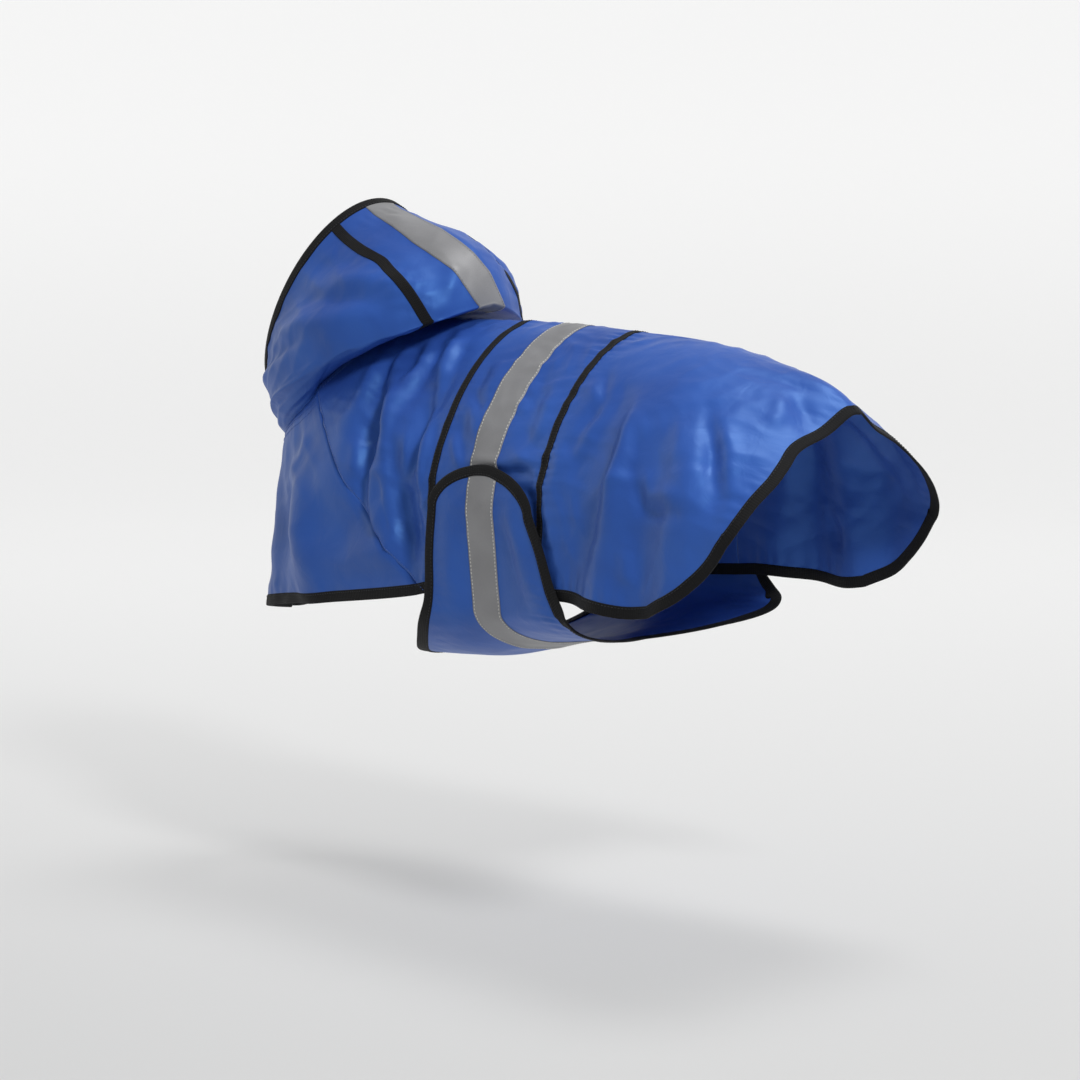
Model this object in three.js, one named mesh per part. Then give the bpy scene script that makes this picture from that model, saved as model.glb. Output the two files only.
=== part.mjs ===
// A rain coat for a large dog, in the shape it has when worn, hollow and open at the neck, hem and belly.
// Millimetres, +X towards the tail end, +Y the wearer's right side, +Z up.
// The origin is inside the cloth over the withers, where the back carries the coat.
// Every panel is a thin closed wall made from a curved surface: two numbers (a, b) give a point of its outer face.
import * as THREE from "three";

// Driving sizes
const CLOTH = 1.2; // wall of the coated cloth
const TAPE = 1.0; // wall of the binding and of the reflective tape
const GAP = 0.3; // air between touching pieces
const HEM_BINDING = 10; // width of the black binding that shows on each face of an edge
const SEAM_TAPE = 9; // width of the black tape over the waist seams
const HOOD_TAPE = 11; // and over the hood's seams
const REFLECTIVE = 36; // width of the grey reflective tape
const SEAM_GAP = 0.3; // between two panels at a seam
const LAP_LIFT = 4.6; // the right front lies this far outside the left front at the closure
const STRAP_LIFT = 4.7; // the belly strap's outer face lies this far outside the coat's
const INSET_STEPS = 4; // steps in which a binding's inner line is found
const LOWER_UNIT = 100; // below the widest line, one unit of the girth coordinate is this much height

// The trunk from the neck to the tail, one row for each station along the back
const STATIONS = [
  { x: -80, ridge: -4, half: 112, drop: 138, round: 1.72, flare: 8 },
  { x: -10, ridge: 1, half: 124, drop: 150, round: 1.66, flare: 8 },
  { x: 70, ridge: 4, half: 133, drop: 162, round: 1.62, flare: 9 },
  { x: 150, ridge: 4, half: 137, drop: 168, round: 1.62, flare: -2 },
  { x: 225, ridge: 2, half: 137, drop: 168, round: 1.64, flare: -12 },
  { x: 290, ridge: -3, half: 138, drop: 166, round: 1.66, flare: 0 },
  { x: 360, ridge: -8, half: 144, drop: 160, round: 1.72, flare: 11 },
  { x: 420, ridge: -18, half: 149, drop: 150, round: 1.78, flare: 10 },
  { x: 480, ridge: -38, half: 150, drop: 130, round: 1.7, flare: 6 },
  { x: 520, ridge: -60, half: 147, drop: 112, round: 1.58, flare: 2 },
  { x: 560, ridge: -93, half: 143, drop: 90, round: 1.5, flare: 0 },
];
const TAIL_TENT = { height: 17, halfWidth: 24, from: 435, to: 550 }; // the tail's root lifts the cloth here

// Heights of the lower hem along each side
const SIDE_HEM = [
  { x: -80, z: -268 },
  { x: 60, z: -256 },
  { x: 140, z: -249 },
  { x: 220, z: -246 },
  { x: 290, z: -242 },
  { x: 330, z: -239 },
  { x: 370, z: -242 },
  { x: 410, z: -245 },
  { x: 440, z: -242 },
  { x: 560, z: -226 },
];
// The rear hem, from the lowest point of the skirt's side up to the arch over the tail
const REAR_HEM = [
  { x: 440, z: -242 },
  { x: 470, z: -229 },
  { x: 493, z: -212 },
  { x: 510, z: -195 },
  { x: 523, z: -176 },
  { x: 534, z: -157 },
  { x: 539, z: -140 },
  { x: 543, z: -124 },
  { x: 542, z: -110 },
  { x: 539, z: -97 },
  { x: 543, z: -85 },
  { x: 550, z: -72 },
];
// The slanting seam between the back panel and the chest, from the neck down to the hem
const SHOULDER_SEAM = [
  { x: -66, z: -66 },
  { x: -40, z: -92 },
  { x: -6, z: -125 },
  { x: 31, z: -160 },
  { x: 71, z: -196 },
  { x: 108, z: -227 },
  { x: 139, z: -249 },
];
const NECK_TOP_X = -10; // the neck seam crosses the back here
const CORNER_TURN = 78; // the shoulder seam reaches the neck this many degrees from the back
const WAIST_FRONT = { ridge: 148, hem: 160 }; // seams of the waist panel, at the back and at the hem
const WAIST_REAR = { ridge: 289, hem: 297 };
const REFLECTIVE_X = 213; // middle of the reflective tape round the waist

// The chest, from the neck seam down to the front hem: its middle line and how square it is in plan
const CHEST = [
  { level: 0, x: -172, z: -139, square: 2.1 },
  { level: 0.2, x: -167, z: -172, square: 2.15 },
  { level: 0.5, x: -168, z: -220, square: 2.3 },
  { level: 0.75, x: -177, z: -263, square: 2.45 },
  { level: 1, x: -191, z: -306, square: 2.6 },
];
const CHEST_DIP = 0.62; // how soon the chest's rows drop towards the middle
// Degrees round the chest from a shoulder seam, 90 is the middle: the left front's points, and those of the
// right front past the middle, where it laps over the left one
const LEFT_TURNS = [0, 5, 11, 18, 26, 34, 43, 52, 61, 69, 77, 86];
const LAP_TURNS = [104, 98, 92, 85, 77, 68];
const LAP_RAMP = { from: 106, to: 93 }; // the right front climbs over the left one between these turns

// The hood, pushed back off the head: the bound opening and the fold that hangs over the neck seam
const HOOD_EDGE = { from: [-66, 123], to: [-190, -100], half: 88 };
const HOOD_FOLD = { from: [97, 21], to: [-190, -98], half: 115, droop: 9 };
const HOOD_PANEL = 34; // degrees from the middle to the seams of the crown panel
const HOOD_SEAM_GAP = 0.25; // and the degrees left open at those seams
const HOOD_CLOSING = 120; // from here on the hood narrows towards its front corners
const HOOD_CORNER = 166; // degrees from the nape to the hood's front corners
const HOOD_CORNER_FOLD = new THREE.Vector3(-5, 0, 10); // the fold and the opening's edge at the corners,
const HOOD_CORNER_EDGE = new THREE.Vector3(-14, 0, 36); // from the neck seam
const HOOD_TWIST = 4; // degrees that the opening is turned to the left side
const FOLD_DEPTH = 9; // how far the rounded fold hangs under its outermost line
const FOLD_AT = 0.4; // share of the hood's rows that lie under the fold
const HOOD_SWELL = 0.2; // how far it swells out above the fold, as the same share
const NECK_BULGE = 0.3; // how far the cloth under the fold bulges at the sides and the front
const HOOD_FULLNESS = 0.42; // how straight up the hood leaves the fold, as a share of its height there
const HOOD_CROWN = 0.06; // how full it is below the opening
const NECK_UP = new THREE.Vector3(-0.45, 0, 0.9); // the way the neck points
const HOOD_STAND = 0.9; // the hood's lower edge stands this far off the neck seam

// The belly strap: q is 0 under the belly, 1 at the coat's widest line, and above it a unit is LOWER_UNIT high
const STRAP_SIDE_Z = -254;
const STRAP_SQUARE = 2.1;
const BELLY = [
  { x: 20, z: -326 },
  { x: 80, z: -326 },
  { x: 140, z: -319 },
  { x: 200, z: -307 },
  { x: 260, z: -296 },
  { x: 330, z: -287 },
];
const STRAP_FRONT = [
  { q: 0, x: 40 },
  { q: 0.3, x: 66 },
  { q: 0.5, x: 97 },
  { q: 0.7, x: 122 },
  { q: 0.86, x: 138 },
  { q: 1, x: 146 },
  { q: 1.5, x: 149 },
  { q: 1.9, x: 154 },
];
const STRAP_REAR = [
  { q: 0, x: 300 },
  { q: 0.3, x: 326 },
  { q: 0.6, x: 346 },
  { q: 0.85, x: 344 },
  { q: 1, x: 335 },
  { q: 1.2, x: 320 },
  { q: 1.6, x: 303 },
  { q: 1.9, x: 288 },
];
const STRAP_TAPE_X = 221; // middle of the reflective tape on the strap
const STRAP_END_Q = 1.9; // the strap's straight edges turn into its round end here
const STRAP_TOP_Q = 2.28;
const STRAP_END = { front: { full: 2.3, round: 0.55 }, rear: { full: 1.9, round: 0.62 } }; // its end's curve
const TAPE_AT = 0.34; // the reflective tape's edges, as a share of the strap's half width
const STRAP_END_W = [-1, -0.93, -0.75, -0.55, -0.34, 0, 0.34, 0.55, 0.75, 0.93, 1];

// Rows and columns of points on the panels
const NECK_ROWS = [0, 0.23, 0.44, 0.7]; // along the back of the neck, as shares of the way to its corner
const LOWER_ROWS = [0.37, 0.48, 0.59, 0.7, 0.8]; // below the neck corner, as shares of the way to the hem
const SHOULDER_STEPS = 13;
const WAIST_STEPS = 8;
const WAIST_TAPE_ROWS = [3, 6];
const SKIRT_STEPS = 16;
const HOOD_TAPE_ROW = 3; // the hood's tapes end under the fold, on this row
const STRAP_STEPS = 36;

// The largest folds: a soft trough or ridge along a line seen from the side, a positive depth stands out
const FOLDS = [
  { x1: 30, z1: -40, x2: 64, z2: -215, width: 20, depth: -8 },
  { x1: 62, z1: -55, x2: 90, z2: -200, width: 18, depth: 6 },
  { x1: 96, z1: -50, x2: 114, z2: -225, width: 18, depth: -7 },
  { x1: 0, z1: -60, x2: 26, z2: -180, width: 20, depth: 5 },
  { x1: 345, z1: -60, x2: 335, z2: -240, width: 24, depth: -8 },
  { x1: 384, z1: -70, x2: 380, z2: -244, width: 22, depth: 6 },
  { x1: 427, z1: -75, x2: 427, z2: -238, width: 24, depth: -8 },
  { x1: 470, z1: -85, x2: 464, z2: -225, width: 22, depth: 6 },
  { x1: -70, z1: -150, x2: -25, z2: -262, width: 26, depth: 7 },
  { x1: -112, z1: -150, x2: -100, z2: -280, width: 22, depth: -5 },
];

const rad = THREE.MathUtils.degToRad;
const lerp = THREE.MathUtils.lerp;
const clamp01 = (t) => Math.min(1, Math.max(0, t));
const smooth = (t) => clamp01(t) ** 2 * (3 - 2 * clamp01(t));
const range = (n) => Array.from({ length: n + 1 }, (_, i) => i);

// Smooth value of a table's column at a place along its key, held flat past its ends
function column(table, key, name) {
  const rows = [...table].sort((p, q) => p[key] - q[key]);
  const slope = (i) => {
    const a = rows[Math.max(0, i - 1)];
    const b = rows[Math.min(rows.length - 1, i + 1)];
    return (b[name] - a[name]) / (b[key] - a[key]);
  };
  return (at) => {
    const t = Math.min(rows.at(-1)[key], Math.max(rows[0][key], at));
    const i = Math.min(rows.length - 2, Math.max(0, rows.findIndex((r) => r[key] >= t) - 1));
    const [a, b] = [rows[i], rows[i + 1]];
    const span = b[key] - a[key];
    const u = (t - a[key]) / span;
    const keep = 1 - smooth(u);
    const bendIn = u * (1 - u) ** 2 * span;
    const bendOut = u * u * (u - 1) * span;
    return a[name] * keep + b[name] * (1 - keep) + slope(i) * bendIn + slope(i + 1) * bendOut;
  };
}

// The same function, remembering what it gave for each number
function memo(f) {
  const seen = new Map();
  return (key) => {
    if (!seen.has(key)) seen.set(key, f(key));
    return seen.get(key);
  };
}

const station = {};
for (const name of ["ridge", "half", "drop", "round", "flare"]) station[name] = memo(column(STATIONS, "x", name));
const sideHemZ = column(SIDE_HEM, "x", "z");
const shoulderSeamZ = column(SHOULDER_SEAM, "x", "z");

// The trunk without folds: girth is 0 on the back, 1 at the widest line, and its sign gives the side
function trunkBase(x, girth) {
  const m = Math.abs(girth);
  const turn = (Math.min(m, 1) * Math.PI) / 2;
  const power = 2 / station.round(x);
  const below = Math.max(0, m - 1);
  const y = station.half(x) * Math.sin(turn) ** power + station.flare(x) * below;
  const z = station.ridge(x) - station.drop(x) * (1 - Math.cos(turn) ** power) - LOWER_UNIT * below;
  const tent = smooth((x - TAIL_TENT.from) / (TAIL_TENT.to - TAIL_TENT.from));
  const lift = TAIL_TENT.height * tent * Math.exp(-((y / TAIL_TENT.halfWidth) ** 2));
  return new THREE.Vector3(x, Math.sign(girth) * y, z + lift);
}

// The girth coordinate of a height on the trunk
function girthAt(x, z) {
  let [low, high] = [0, 4];
  for (let i = 0; i < 40; i += 1) {
    const middle = (low + high) / 2;
    if (trunkBase(x, middle).z > z) low = middle;
    else high = middle;
  }
  return (low + high) / 2;
}
const hemGirth = memo((x) => girthAt(x, sideHemZ(x)));

// How far the folds push a point out along its normal
function foldDepth(p) {
  let depth = 0;
  for (const f of FOLDS) {
    const [dx, dz] = [f.x2 - f.x1, f.z2 - f.z1];
    const along = ((p.x - f.x1) * dx + (p.z - f.z1) * dz) / (dx * dx + dz * dz);
    const across = ((p.x - f.x1) * dz - (p.z - f.z1) * dx) / Math.hypot(dx, dz);
    const ends = smooth((along + 0.15) / 0.45) * smooth((1.35 - along) / 0.35);
    depth += f.depth * ends * Math.exp(-((across / f.width) ** 2));
  }
  return depth * smooth((Math.abs(p.y) - 35) / 50);
}

// How a surface point moves with a and with b. A surface carries the steps to take (da, db), which way it
// faces, and the values of a between which it is defined.
function slopes(surface, a, b) {
  const { da, db, low = -Infinity, high = Infinity } = surface;
  const at = Math.min(high, Math.max(low, a));
  return [
    surface(at + da, b).sub(surface(at - da, b)).divideScalar(2 * da),
    surface(at, b + db).sub(surface(at, b - db)).divideScalar(2 * db),
  ];
}
// Outward normal of a surface at (a, b)
function normalOf(surface, a, b) {
  const [pa, pb] = slopes(surface, a, b);
  return pa.cross(pb).normalize().multiplyScalar(surface.facing);
}

// The trunk's outer face; b runs from -1 at the left hem over the back to 1 at the right hem
function trunkFlat(x, b) {
  return trunkBase(x, b * hemGirth(x));
}
function trunk(x, b) {
  const base = trunkFlat(x, b);
  return base.addScaledVector(normalOf(trunkFlat, x, b), foldDepth(base));
}
Object.assign(trunkFlat, { da: 1, db: 0.01, facing: 1 });
Object.assign(trunk, { da: 1, db: 0.01, facing: 1 });

// Where each panel of the trunk starts and ends along the back, for a place b round the girth
const seamRows = range(24).map((i) => {
  const seamX = lerp(SHOULDER_SEAM[0].x, SHOULDER_SEAM.at(-1).x, i / 24);
  return { x: seamX, b: girthAt(seamX, shoulderSeamZ(seamX)) / hemGirth(seamX) };
});
const NECK_CORNER = seamRows[0].b;
const shoulderSeamX = column(seamRows, "b", "x");
const shoulderSeamB = column(seamRows, "x", "b");
const neckBackX = (b) => lerp(NECK_TOP_X, SHOULDER_SEAM[0].x, (b / NECK_CORNER) ** 2);
const frontX = (b) => (Math.abs(b) < NECK_CORNER ? neckBackX(Math.abs(b)) : shoulderSeamX(Math.abs(b)));
const waistFrontX = (b) => lerp(WAIST_FRONT.ridge, WAIST_FRONT.hem, b * b);
const waistRearX = (b) => lerp(WAIST_REAR.ridge, WAIST_REAR.hem, b * b);
const rearRows = REAR_HEM.map(({ x, z }) => ({ x, b: girthAt(x, z) / hemGirth(x) }));
Object.assign(rearRows[0], { b: 1 });
Object.assign(rearRows.at(-1), { b: 0 });
const rearHemX = column(rearRows, "b", "x");

// The chest's outer face: level 0 is the neck seam, 1 the front hem, and turn goes from 0 at the left
// shoulder seam over 90 at the middle to 180 at the right one
const chestColumn = {};
for (const name of ["x", "z", "square"]) chestColumn[name] = column(CHEST, "level", name);
function seamPoint(level, side) {
  const x = lerp(SHOULDER_SEAM[0].x, SHOULDER_SEAM.at(-1).x, level);
  return { flat: trunkFlat(x, side * shoulderSeamB(x)), folded: trunk(x, side * shoulderSeamB(x)) };
}
function chestFlat(level, turn) {
  const side = turn > 90 ? 1 : -1;
  const start = seamPoint(level, side).flat;
  const round = rad(turn > 90 ? 180 - turn : turn);
  const power = 2 / chestColumn.square(level);
  const x = lerp(start.x, chestColumn.x(level), Math.max(0, Math.sin(round)) ** power);
  const y = start.y * Math.max(0, Math.cos(round)) ** power;
  const z = lerp(start.z, chestColumn.z(level), Math.max(0, (2 * round) / Math.PI) ** CHEST_DIP);
  return new THREE.Vector3(x, y, z);
}
function chest(level, turn) {
  const base = chestFlat(level, turn);
  const seam = seamPoint(level, turn > 90 ? 1 : -1);
  const n = normalOf(chestFlat, level, Math.min(176, Math.max(4, turn)));
  const offset = n.multiplyScalar(foldDepth(base));
  const fromSeam = smooth(Math.min(turn, 180 - turn) / 25);
  return base.add(seam.folded.sub(seam.flat).lerp(offset, fromSeam));
}
// The right front climbs over the left one where they lap
function lapped(level, turn) {
  const lift = LAP_LIFT * smooth((LAP_RAMP.from - turn) / (LAP_RAMP.from - LAP_RAMP.to));
  return chest(level, turn).addScaledVector(normalOf(chest, level, turn), lift);
}
Object.assign(chestFlat, { da: 0.01, db: 2, facing: -1, low: 0.01, high: 0.99 });
Object.assign(chest, { da: 0.01, db: 1, facing: -1, low: 0.01, high: 0.99 });
Object.assign(lapped, { da: 0.01, db: 1, facing: -1, low: 0.01, high: 0.99 });

// The neck seam as the hood meets it, by degrees from the back of the neck: straight between the points
// that the shoulder panel and the fronts have there
const neckTurns = [
  ...NECK_ROWS.map((row) => CORNER_TURN * row),
  ...LEFT_TURNS.map((turn) => lerp(CORNER_TURN, 180, turn / 90)),
];
const neckShare = (row) => Math.sin((row * Math.PI) / 2);
const neckPoints = neckTurns.map((turn, k) => {
  if (k >= NECK_ROWS.length) return chest(0, LEFT_TURNS[k - NECK_ROWS.length]);
  const b = NECK_CORNER * neckShare(NECK_ROWS[k]);
  return trunk(neckBackX(b), -b);
});
function neckSeam(turn) {
  const t = Math.min(Math.abs(turn), neckTurns.at(-1));
  const k = Math.max(1, neckTurns.findIndex((place) => place >= t));
  const share = (t - neckTurns[k - 1]) / (neckTurns[k] - neckTurns[k - 1]);
  const p = neckPoints[k - 1].clone().lerp(neckPoints[k], share);
  if (turn > 0) p.y *= -1;
  return p;
}

// An oval through two points of the middle plane, by degrees from the first
function oval({ from, to, half }, turn) {
  const c = Math.cos(rad(turn));
  const [x, z] = [0, 1].map((k) => (from[k] + to[k]) / 2 + ((from[k] - to[k]) / 2) * c);
  return new THREE.Vector3(x, half * Math.sin(rad(turn)), z);
}
function hoodFold(turn) {
  const p = oval(HOOD_FOLD, turn);
  if (Math.abs(turn) < 90) p.z -= HOOD_FOLD.droop * Math.sin(rad(2 * Math.abs(turn)));
  const closing = smooth((Math.abs(turn) - HOOD_CLOSING) / (HOOD_CORNER - HOOD_CLOSING));
  return p.lerp(neckSeam(turn).add(HOOD_CORNER_FOLD), closing);
}
function hoodEdge(turn) {
  const twist = HOOD_TWIST * smooth((HOOD_CLOSING - Math.abs(turn)) / 60);
  const p = oval(HOOD_EDGE, turn - twist);
  const closing = smooth((Math.abs(turn) - HOOD_CLOSING) / (HOOD_CORNER - HOOD_CLOSING));
  return p.lerp(neckSeam(turn).add(HOOD_CORNER_EDGE), closing);
}
// The hood's outer face: v is 0 at the neck seam, FOLD_AT at the fold and 1 at the bound opening
function hood(v, turn) {
  const [seam, fold, edge] = [neckSeam(turn), hoodFold(turn), hoodEdge(turn)];
  seam.addScaledVector(NECK_UP, HOOD_STAND);
  const rise = fold.distanceTo(edge);
  const reach = fold.distanceTo(seam);
  if (v <= FOLD_AT) {
    const out = fold.clone().sub(seam).multiplyScalar(0.35);
    const bulge = new THREE.Vector3(out.x, out.y, 0).setLength(reach * NECK_BULGE * smooth((Math.abs(turn) - 60) / 60));
    const start = seam.clone().add(out).add(bulge).addScaledVector(NECK_UP, reach * 0.04);
    const under = fold.clone().addScaledVector(NECK_UP, -Math.min(FOLD_DEPTH, reach * 0.35));
    return new THREE.CubicBezierCurve3(seam, start, under, fold).getPoint(v / FOLD_AT);
  }
  const swell = fold.clone().sub(seam).setLength(rise * HOOD_SWELL);
  const over = fold.clone().add(swell).addScaledVector(NECK_UP, rise * HOOD_FULLNESS);
  const back = fold.clone().sub(edge).multiplyScalar(0.4).addScaledVector(NECK_UP, rise * HOOD_CROWN);
  const curve = new THREE.CubicBezierCurve3(fold, over, edge.clone().add(back), edge);
  return curve.getPoint((v - FOLD_AT) / (1 - FOLD_AT));
}
Object.assign(hood, { da: 0.004, db: 0.5, facing: -1 });
// Degrees from the middle at which the hood is a distance wide
function hoodTurnAt(v, halfWidth) {
  let [low, high] = [0, 80];
  for (let i = 0; i < 30; i += 1) {
    const middle = (low + high) / 2;
    if (hood(v, middle).y < halfWidth) low = middle;
    else high = middle;
  }
  return (low + high) / 2;
}

// The belly strap's outer face, round the girth (q), and across from its front edge (w = -1) to its rear
// edge (w = 1), with the reflective tape between its own two places
const bellyZ = column(BELLY, "x", "z");
const strapFront = column(STRAP_FRONT, "q", "x");
const strapRear = column(STRAP_REAR, "q", "x");
function strapX(q, w) {
  const [from, to] = [strapFront(Math.abs(q)), strapRear(Math.abs(q))];
  const [low, high] = [STRAP_TAPE_X - REFLECTIVE / 2, STRAP_TAPE_X + REFLECTIVE / 2];
  if (w < -TAPE_AT) return lerp(from, low, (w + 1) / (1 - TAPE_AT));
  if (w > TAPE_AT) return lerp(high, to, (w - TAPE_AT) / (1 - TAPE_AT));
  return lerp(low, high, (w + TAPE_AT) / (2 * TAPE_AT));
}
function strap(q, w) {
  const side = Math.sign(q) || 1;
  const up = Math.abs(q);
  const x = strapX(q, w);
  const beside = (z) => {
    const b = (side * girthAt(x, z)) / hemGirth(x);
    return trunk(x, b).addScaledVector(normalOf(trunk, x, b), STRAP_LIFT);
  };
  if (up >= 1) return beside(STRAP_SIDE_Z + LOWER_UNIT * (up - 1));
  const top = beside(STRAP_SIDE_Z);
  const turn = (up * Math.PI) / 2;
  const power = 2 / STRAP_SQUARE;
  const z = lerp(top.z, bellyZ(x), Math.cos(turn) ** power);
  return new THREE.Vector3(lerp(x, top.x, up), top.y * Math.sin(turn) ** power, z);
}
Object.assign(strap, { da: 0.01, db: 0.02, facing: 1 });

// A panel's grid of points from its four edges, each a list of places (a, b). Beside an edge that has an
// inset, the next row of points lies that many millimetres inside it, so a binding can follow it. Rows and
// columns that are held keep a given place. The rest is blended between.
function panel({ surface, start, end, first, last, inset = {}, holdRows = [], holdColumns = [] }) {
  const [ni, nj] = [first.length - 1, start.length - 1];
  const grid = first.map((_, i) => start.map((__, j) => {
    if (i === 0) return start[j];
    if (i === ni) return end[j];
    if (j === 0) return first[i];
    return j === nj ? last[i] : null;
  }));
  const [i0, i1] = [inset.start ? 1 : 0, inset.end ? ni - 1 : ni];
  const [j0, j1] = [inset.first ? 1 : 0, inset.last ? nj - 1 : nj];
  const middles = [first[Math.round(ni / 2)], last[Math.round(ni / 2)], start[Math.round(nj / 2)], end[Math.round(nj / 2)]];
  const middle = surface(...[0, 1].map((k) => middles.reduce((sum, place) => sum + place[k] / middles.length, 0)));
  // A place moved by a vector in the surface, in small steps because places are spaced unevenly
  const stepped = (fromA, fromB, v) => {
    let [a, b] = [fromA, fromB];
    for (let k = 0; k < INSET_STEPS; k += 1) {
      const [pa, pb] = slopes(surface, a, b);
      const [aa, ab, bb] = [pa.dot(pa), pa.dot(pb), pb.dot(pb)];
      const det = (aa * bb - ab * ab) * INSET_STEPS;
      const moves = [v.dot(pa) * bb - v.dot(pb) * ab, v.dot(pb) * aa - v.dot(pa) * ab];
      [a, b] = [a + moves[0] / det, b + moves[1] / det];
    }
    return [a, b];
  };
  // A place moved inwards from the edge place (i, j) by one distance, or by two at a corner
  const inward = (i, j, pulls) => {
    const [a, b] = grid[i][j];
    const here = surface(a, b);
    const [pa, pb] = slopes(surface, a, b);
    const n = pa.clone().cross(pb).normalize();
    const dirs = pulls.map(({ near }) => {
      const [p, q] = near.map(([k, l]) => grid[k][l]);
      const tangent = pa.clone().multiplyScalar(q[0] - p[0]).addScaledVector(pb, q[1] - p[1]);
      const dir = n.clone().cross(tangent).normalize();
      return dir.dot(middle.clone().sub(here)) < 0 ? dir.negate() : dir;
    });
    const v = dirs[0].clone();
    if (pulls.length === 1) v.multiplyScalar(pulls[0].by);
    else {
      const c = dirs[0].dot(dirs[1]);
      const [p, q] = pulls.map(({ by }) => by);
      v.multiplyScalar((p - q * c) / (1 - c * c)).addScaledVector(dirs[1], (q - p * c) / (1 - c * c));
    }
    return stepped(a, b, v);
  };
  const alongRow = (i, j) => [[i, Math.max(0, j - 1)], [i, Math.min(nj, j + 1)]];
  const alongColumn = (i, j) => [[Math.max(0, i - 1), j], [Math.min(ni, i + 1), j]];
  for (let i = i0; i <= i1; i += 1) {
    for (let j = j0; j <= j1; j += 1) {
      const row = i === i0 && i0 ? 0 : i === i1 && i1 < ni ? ni : null;
      const col = j === j0 && j0 ? 0 : j === j1 && j1 < nj ? nj : null;
      const pulls = [];
      const [ei, ej] = [row ?? i, col ?? j];
      if (row !== null) pulls.push({ near: alongRow(ei, ej), by: row ? inset.end : inset.start });
      if (col !== null) pulls.push({ near: alongColumn(ei, ej), by: col ? inset.last : inset.first });
      if (pulls.length && !grid[i][j]) grid[i][j] = inward(ei, ej, pulls);
    }
  }
  const share = (places, k, from, to) => (places[k] - places[from]) / (places[to] - places[from]);
  const lengths = (list) => {
    const sums = [0];
    list.slice(1).forEach((p, k) => sums.push(sums[k] + surface(...p).distanceTo(surface(...list[k]))));
    return sums;
  };
  const mid = (p, q) => p.map((value, k) => (value + q[k]) / 2);
  const down = lengths(first.map((p, i) => mid(p, last[i])));
  const over = lengths(start.map((p, j) => mid(p, end[j])));
  for (let i = i0 + 1; i < i1; i += 1) {
    for (let j = j0 + 1; j < j1; j += 1) {
      const [s, t] = [share(down, i, i0, i1), share(over, j, j0, j1)];
      grid[i][j] = [0, 1].map((k) => {
        const corners =
          (1 - s) * ((1 - t) * grid[i0][j0][k] + t * grid[i0][j1][k]) +
          s * ((1 - t) * grid[i1][j0][k] + t * grid[i1][j1][k]);
        const rows = (1 - s) * grid[i0][j][k] + s * grid[i1][j][k];
        return rows + (1 - t) * grid[i][j0][k] + t * grid[i][j1][k] - corners;
      });
    }
  }
  const hold = (get, set, from, to, held) => {
    const fixed = [{ k: from, by: 0 }, ...held.map(({ k, value }) => ({ k, by: value - get(k) })), { k: to, by: 0 }];
    for (let m = 0; m + 1 < fixed.length; m += 1) {
      const [p, q] = [fixed[m], fixed[m + 1]];
      for (let k = p.k + (m ? 0 : 1); k < q.k; k += 1) set(k, lerp(p.by, q.by, (k - p.k) / (q.k - p.k)));
    }
  };
  if (holdRows.length) {
    for (let j = 1; j < nj; j += 1) {
      const held = holdRows.map(({ i, a }) => ({ k: i, value: a }));
      hold((k) => grid[k][j][0], (k, by) => (grid[k][j][0] += by), i0, i1, held);
    }
  }
  if (holdColumns.length) {
    for (let i = 1; i < ni; i += 1) {
      const held = holdColumns.map(({ j, b }) => ({ k: j, value: b(grid[i][j][0]) }));
      hold((k) => grid[i][k][1], (k, by) => (grid[i][k][1] += by), j0, j1, held);
    }
  }
  return grid.map((row) => row.map(([a, b]) => ({ p: surface(a, b), n: normalOf(surface, a, b) })));
}

// Whether the four-sided cell p, q, r, s is split from p to r: the shorter way, the same whichever way the
// cell is walked round, so that a tape's faces follow the panel's faces under it
function splitsFromFirst(p, q, r, s) {
  const longer = p.distanceTo(r) - q.distanceTo(s);
  if (Math.abs(longer) > 1e-4) return longer < 0;
  const rank = (v) => v.x + 0.37 * v.y + 0.73 * v.z;
  return Math.max(rank(p), rank(r)) > Math.max(rank(q), rank(s));
}

// A closed mesh from loops of points: neighbouring loops are joined, and the ends are capped. split says
// for each cell whether it is cut from its first corner.
function loft(loops, cap, split) {
  const [positions, index] = [[], []];
  const count = loops[0].length;
  for (const loop of loops) for (const p of loop) positions.push(p.x, p.y, p.z);
  const quad = (a, b, c, d, fromFirst = true) =>
    fromFirst ? index.push(a, b, c, a, c, d) : index.push(a, b, d, b, c, d);
  for (let i = 0; i + 1 < loops.length; i += 1) {
    for (let k = 0; k < count; k += 1) {
      const next = (k + 1) % count;
      quad(i * count + k, i * count + next, (i + 1) * count + next, (i + 1) * count + k, split(i, k));
    }
  }
  cap(0, (a, b, c, d) => quad(d, c, b, a));
  cap((loops.length - 1) * count, (a, b, c, d) => quad(a, b, c, d));
  return solid(positions, index);
}

// A geometry that faces outwards, without triangles that have no area
function solid(positions, index) {
  const place = (i) => new THREE.Vector3().fromArray(positions, 3 * i);
  const kept = [];
  let volume = 0;
  for (let i = 0; i < index.length; i += 3) {
    const [a, b, c] = [place(index[i]), place(index[i + 1]), place(index[i + 2])];
    const flat = a.distanceTo(b) < 1e-3 || b.distanceTo(c) < 1e-3 || c.distanceTo(a) < 1e-3;
    if (flat) continue;
    kept.push(index[i], index[i + 1], index[i + 2]);
    volume += a.dot(b.cross(c));
  }
  if (volume < 0) for (let i = 0; i < kept.length; i += 3) [kept[i], kept[i + 1]] = [kept[i + 1], kept[i]];
  const geometry = new THREE.BufferGeometry();
  geometry.setAttribute("position", new THREE.Float32BufferAttribute(positions, 3));
  geometry.setIndex(kept);
  geometry.computeVertexNormals();
  return geometry;
}

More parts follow.
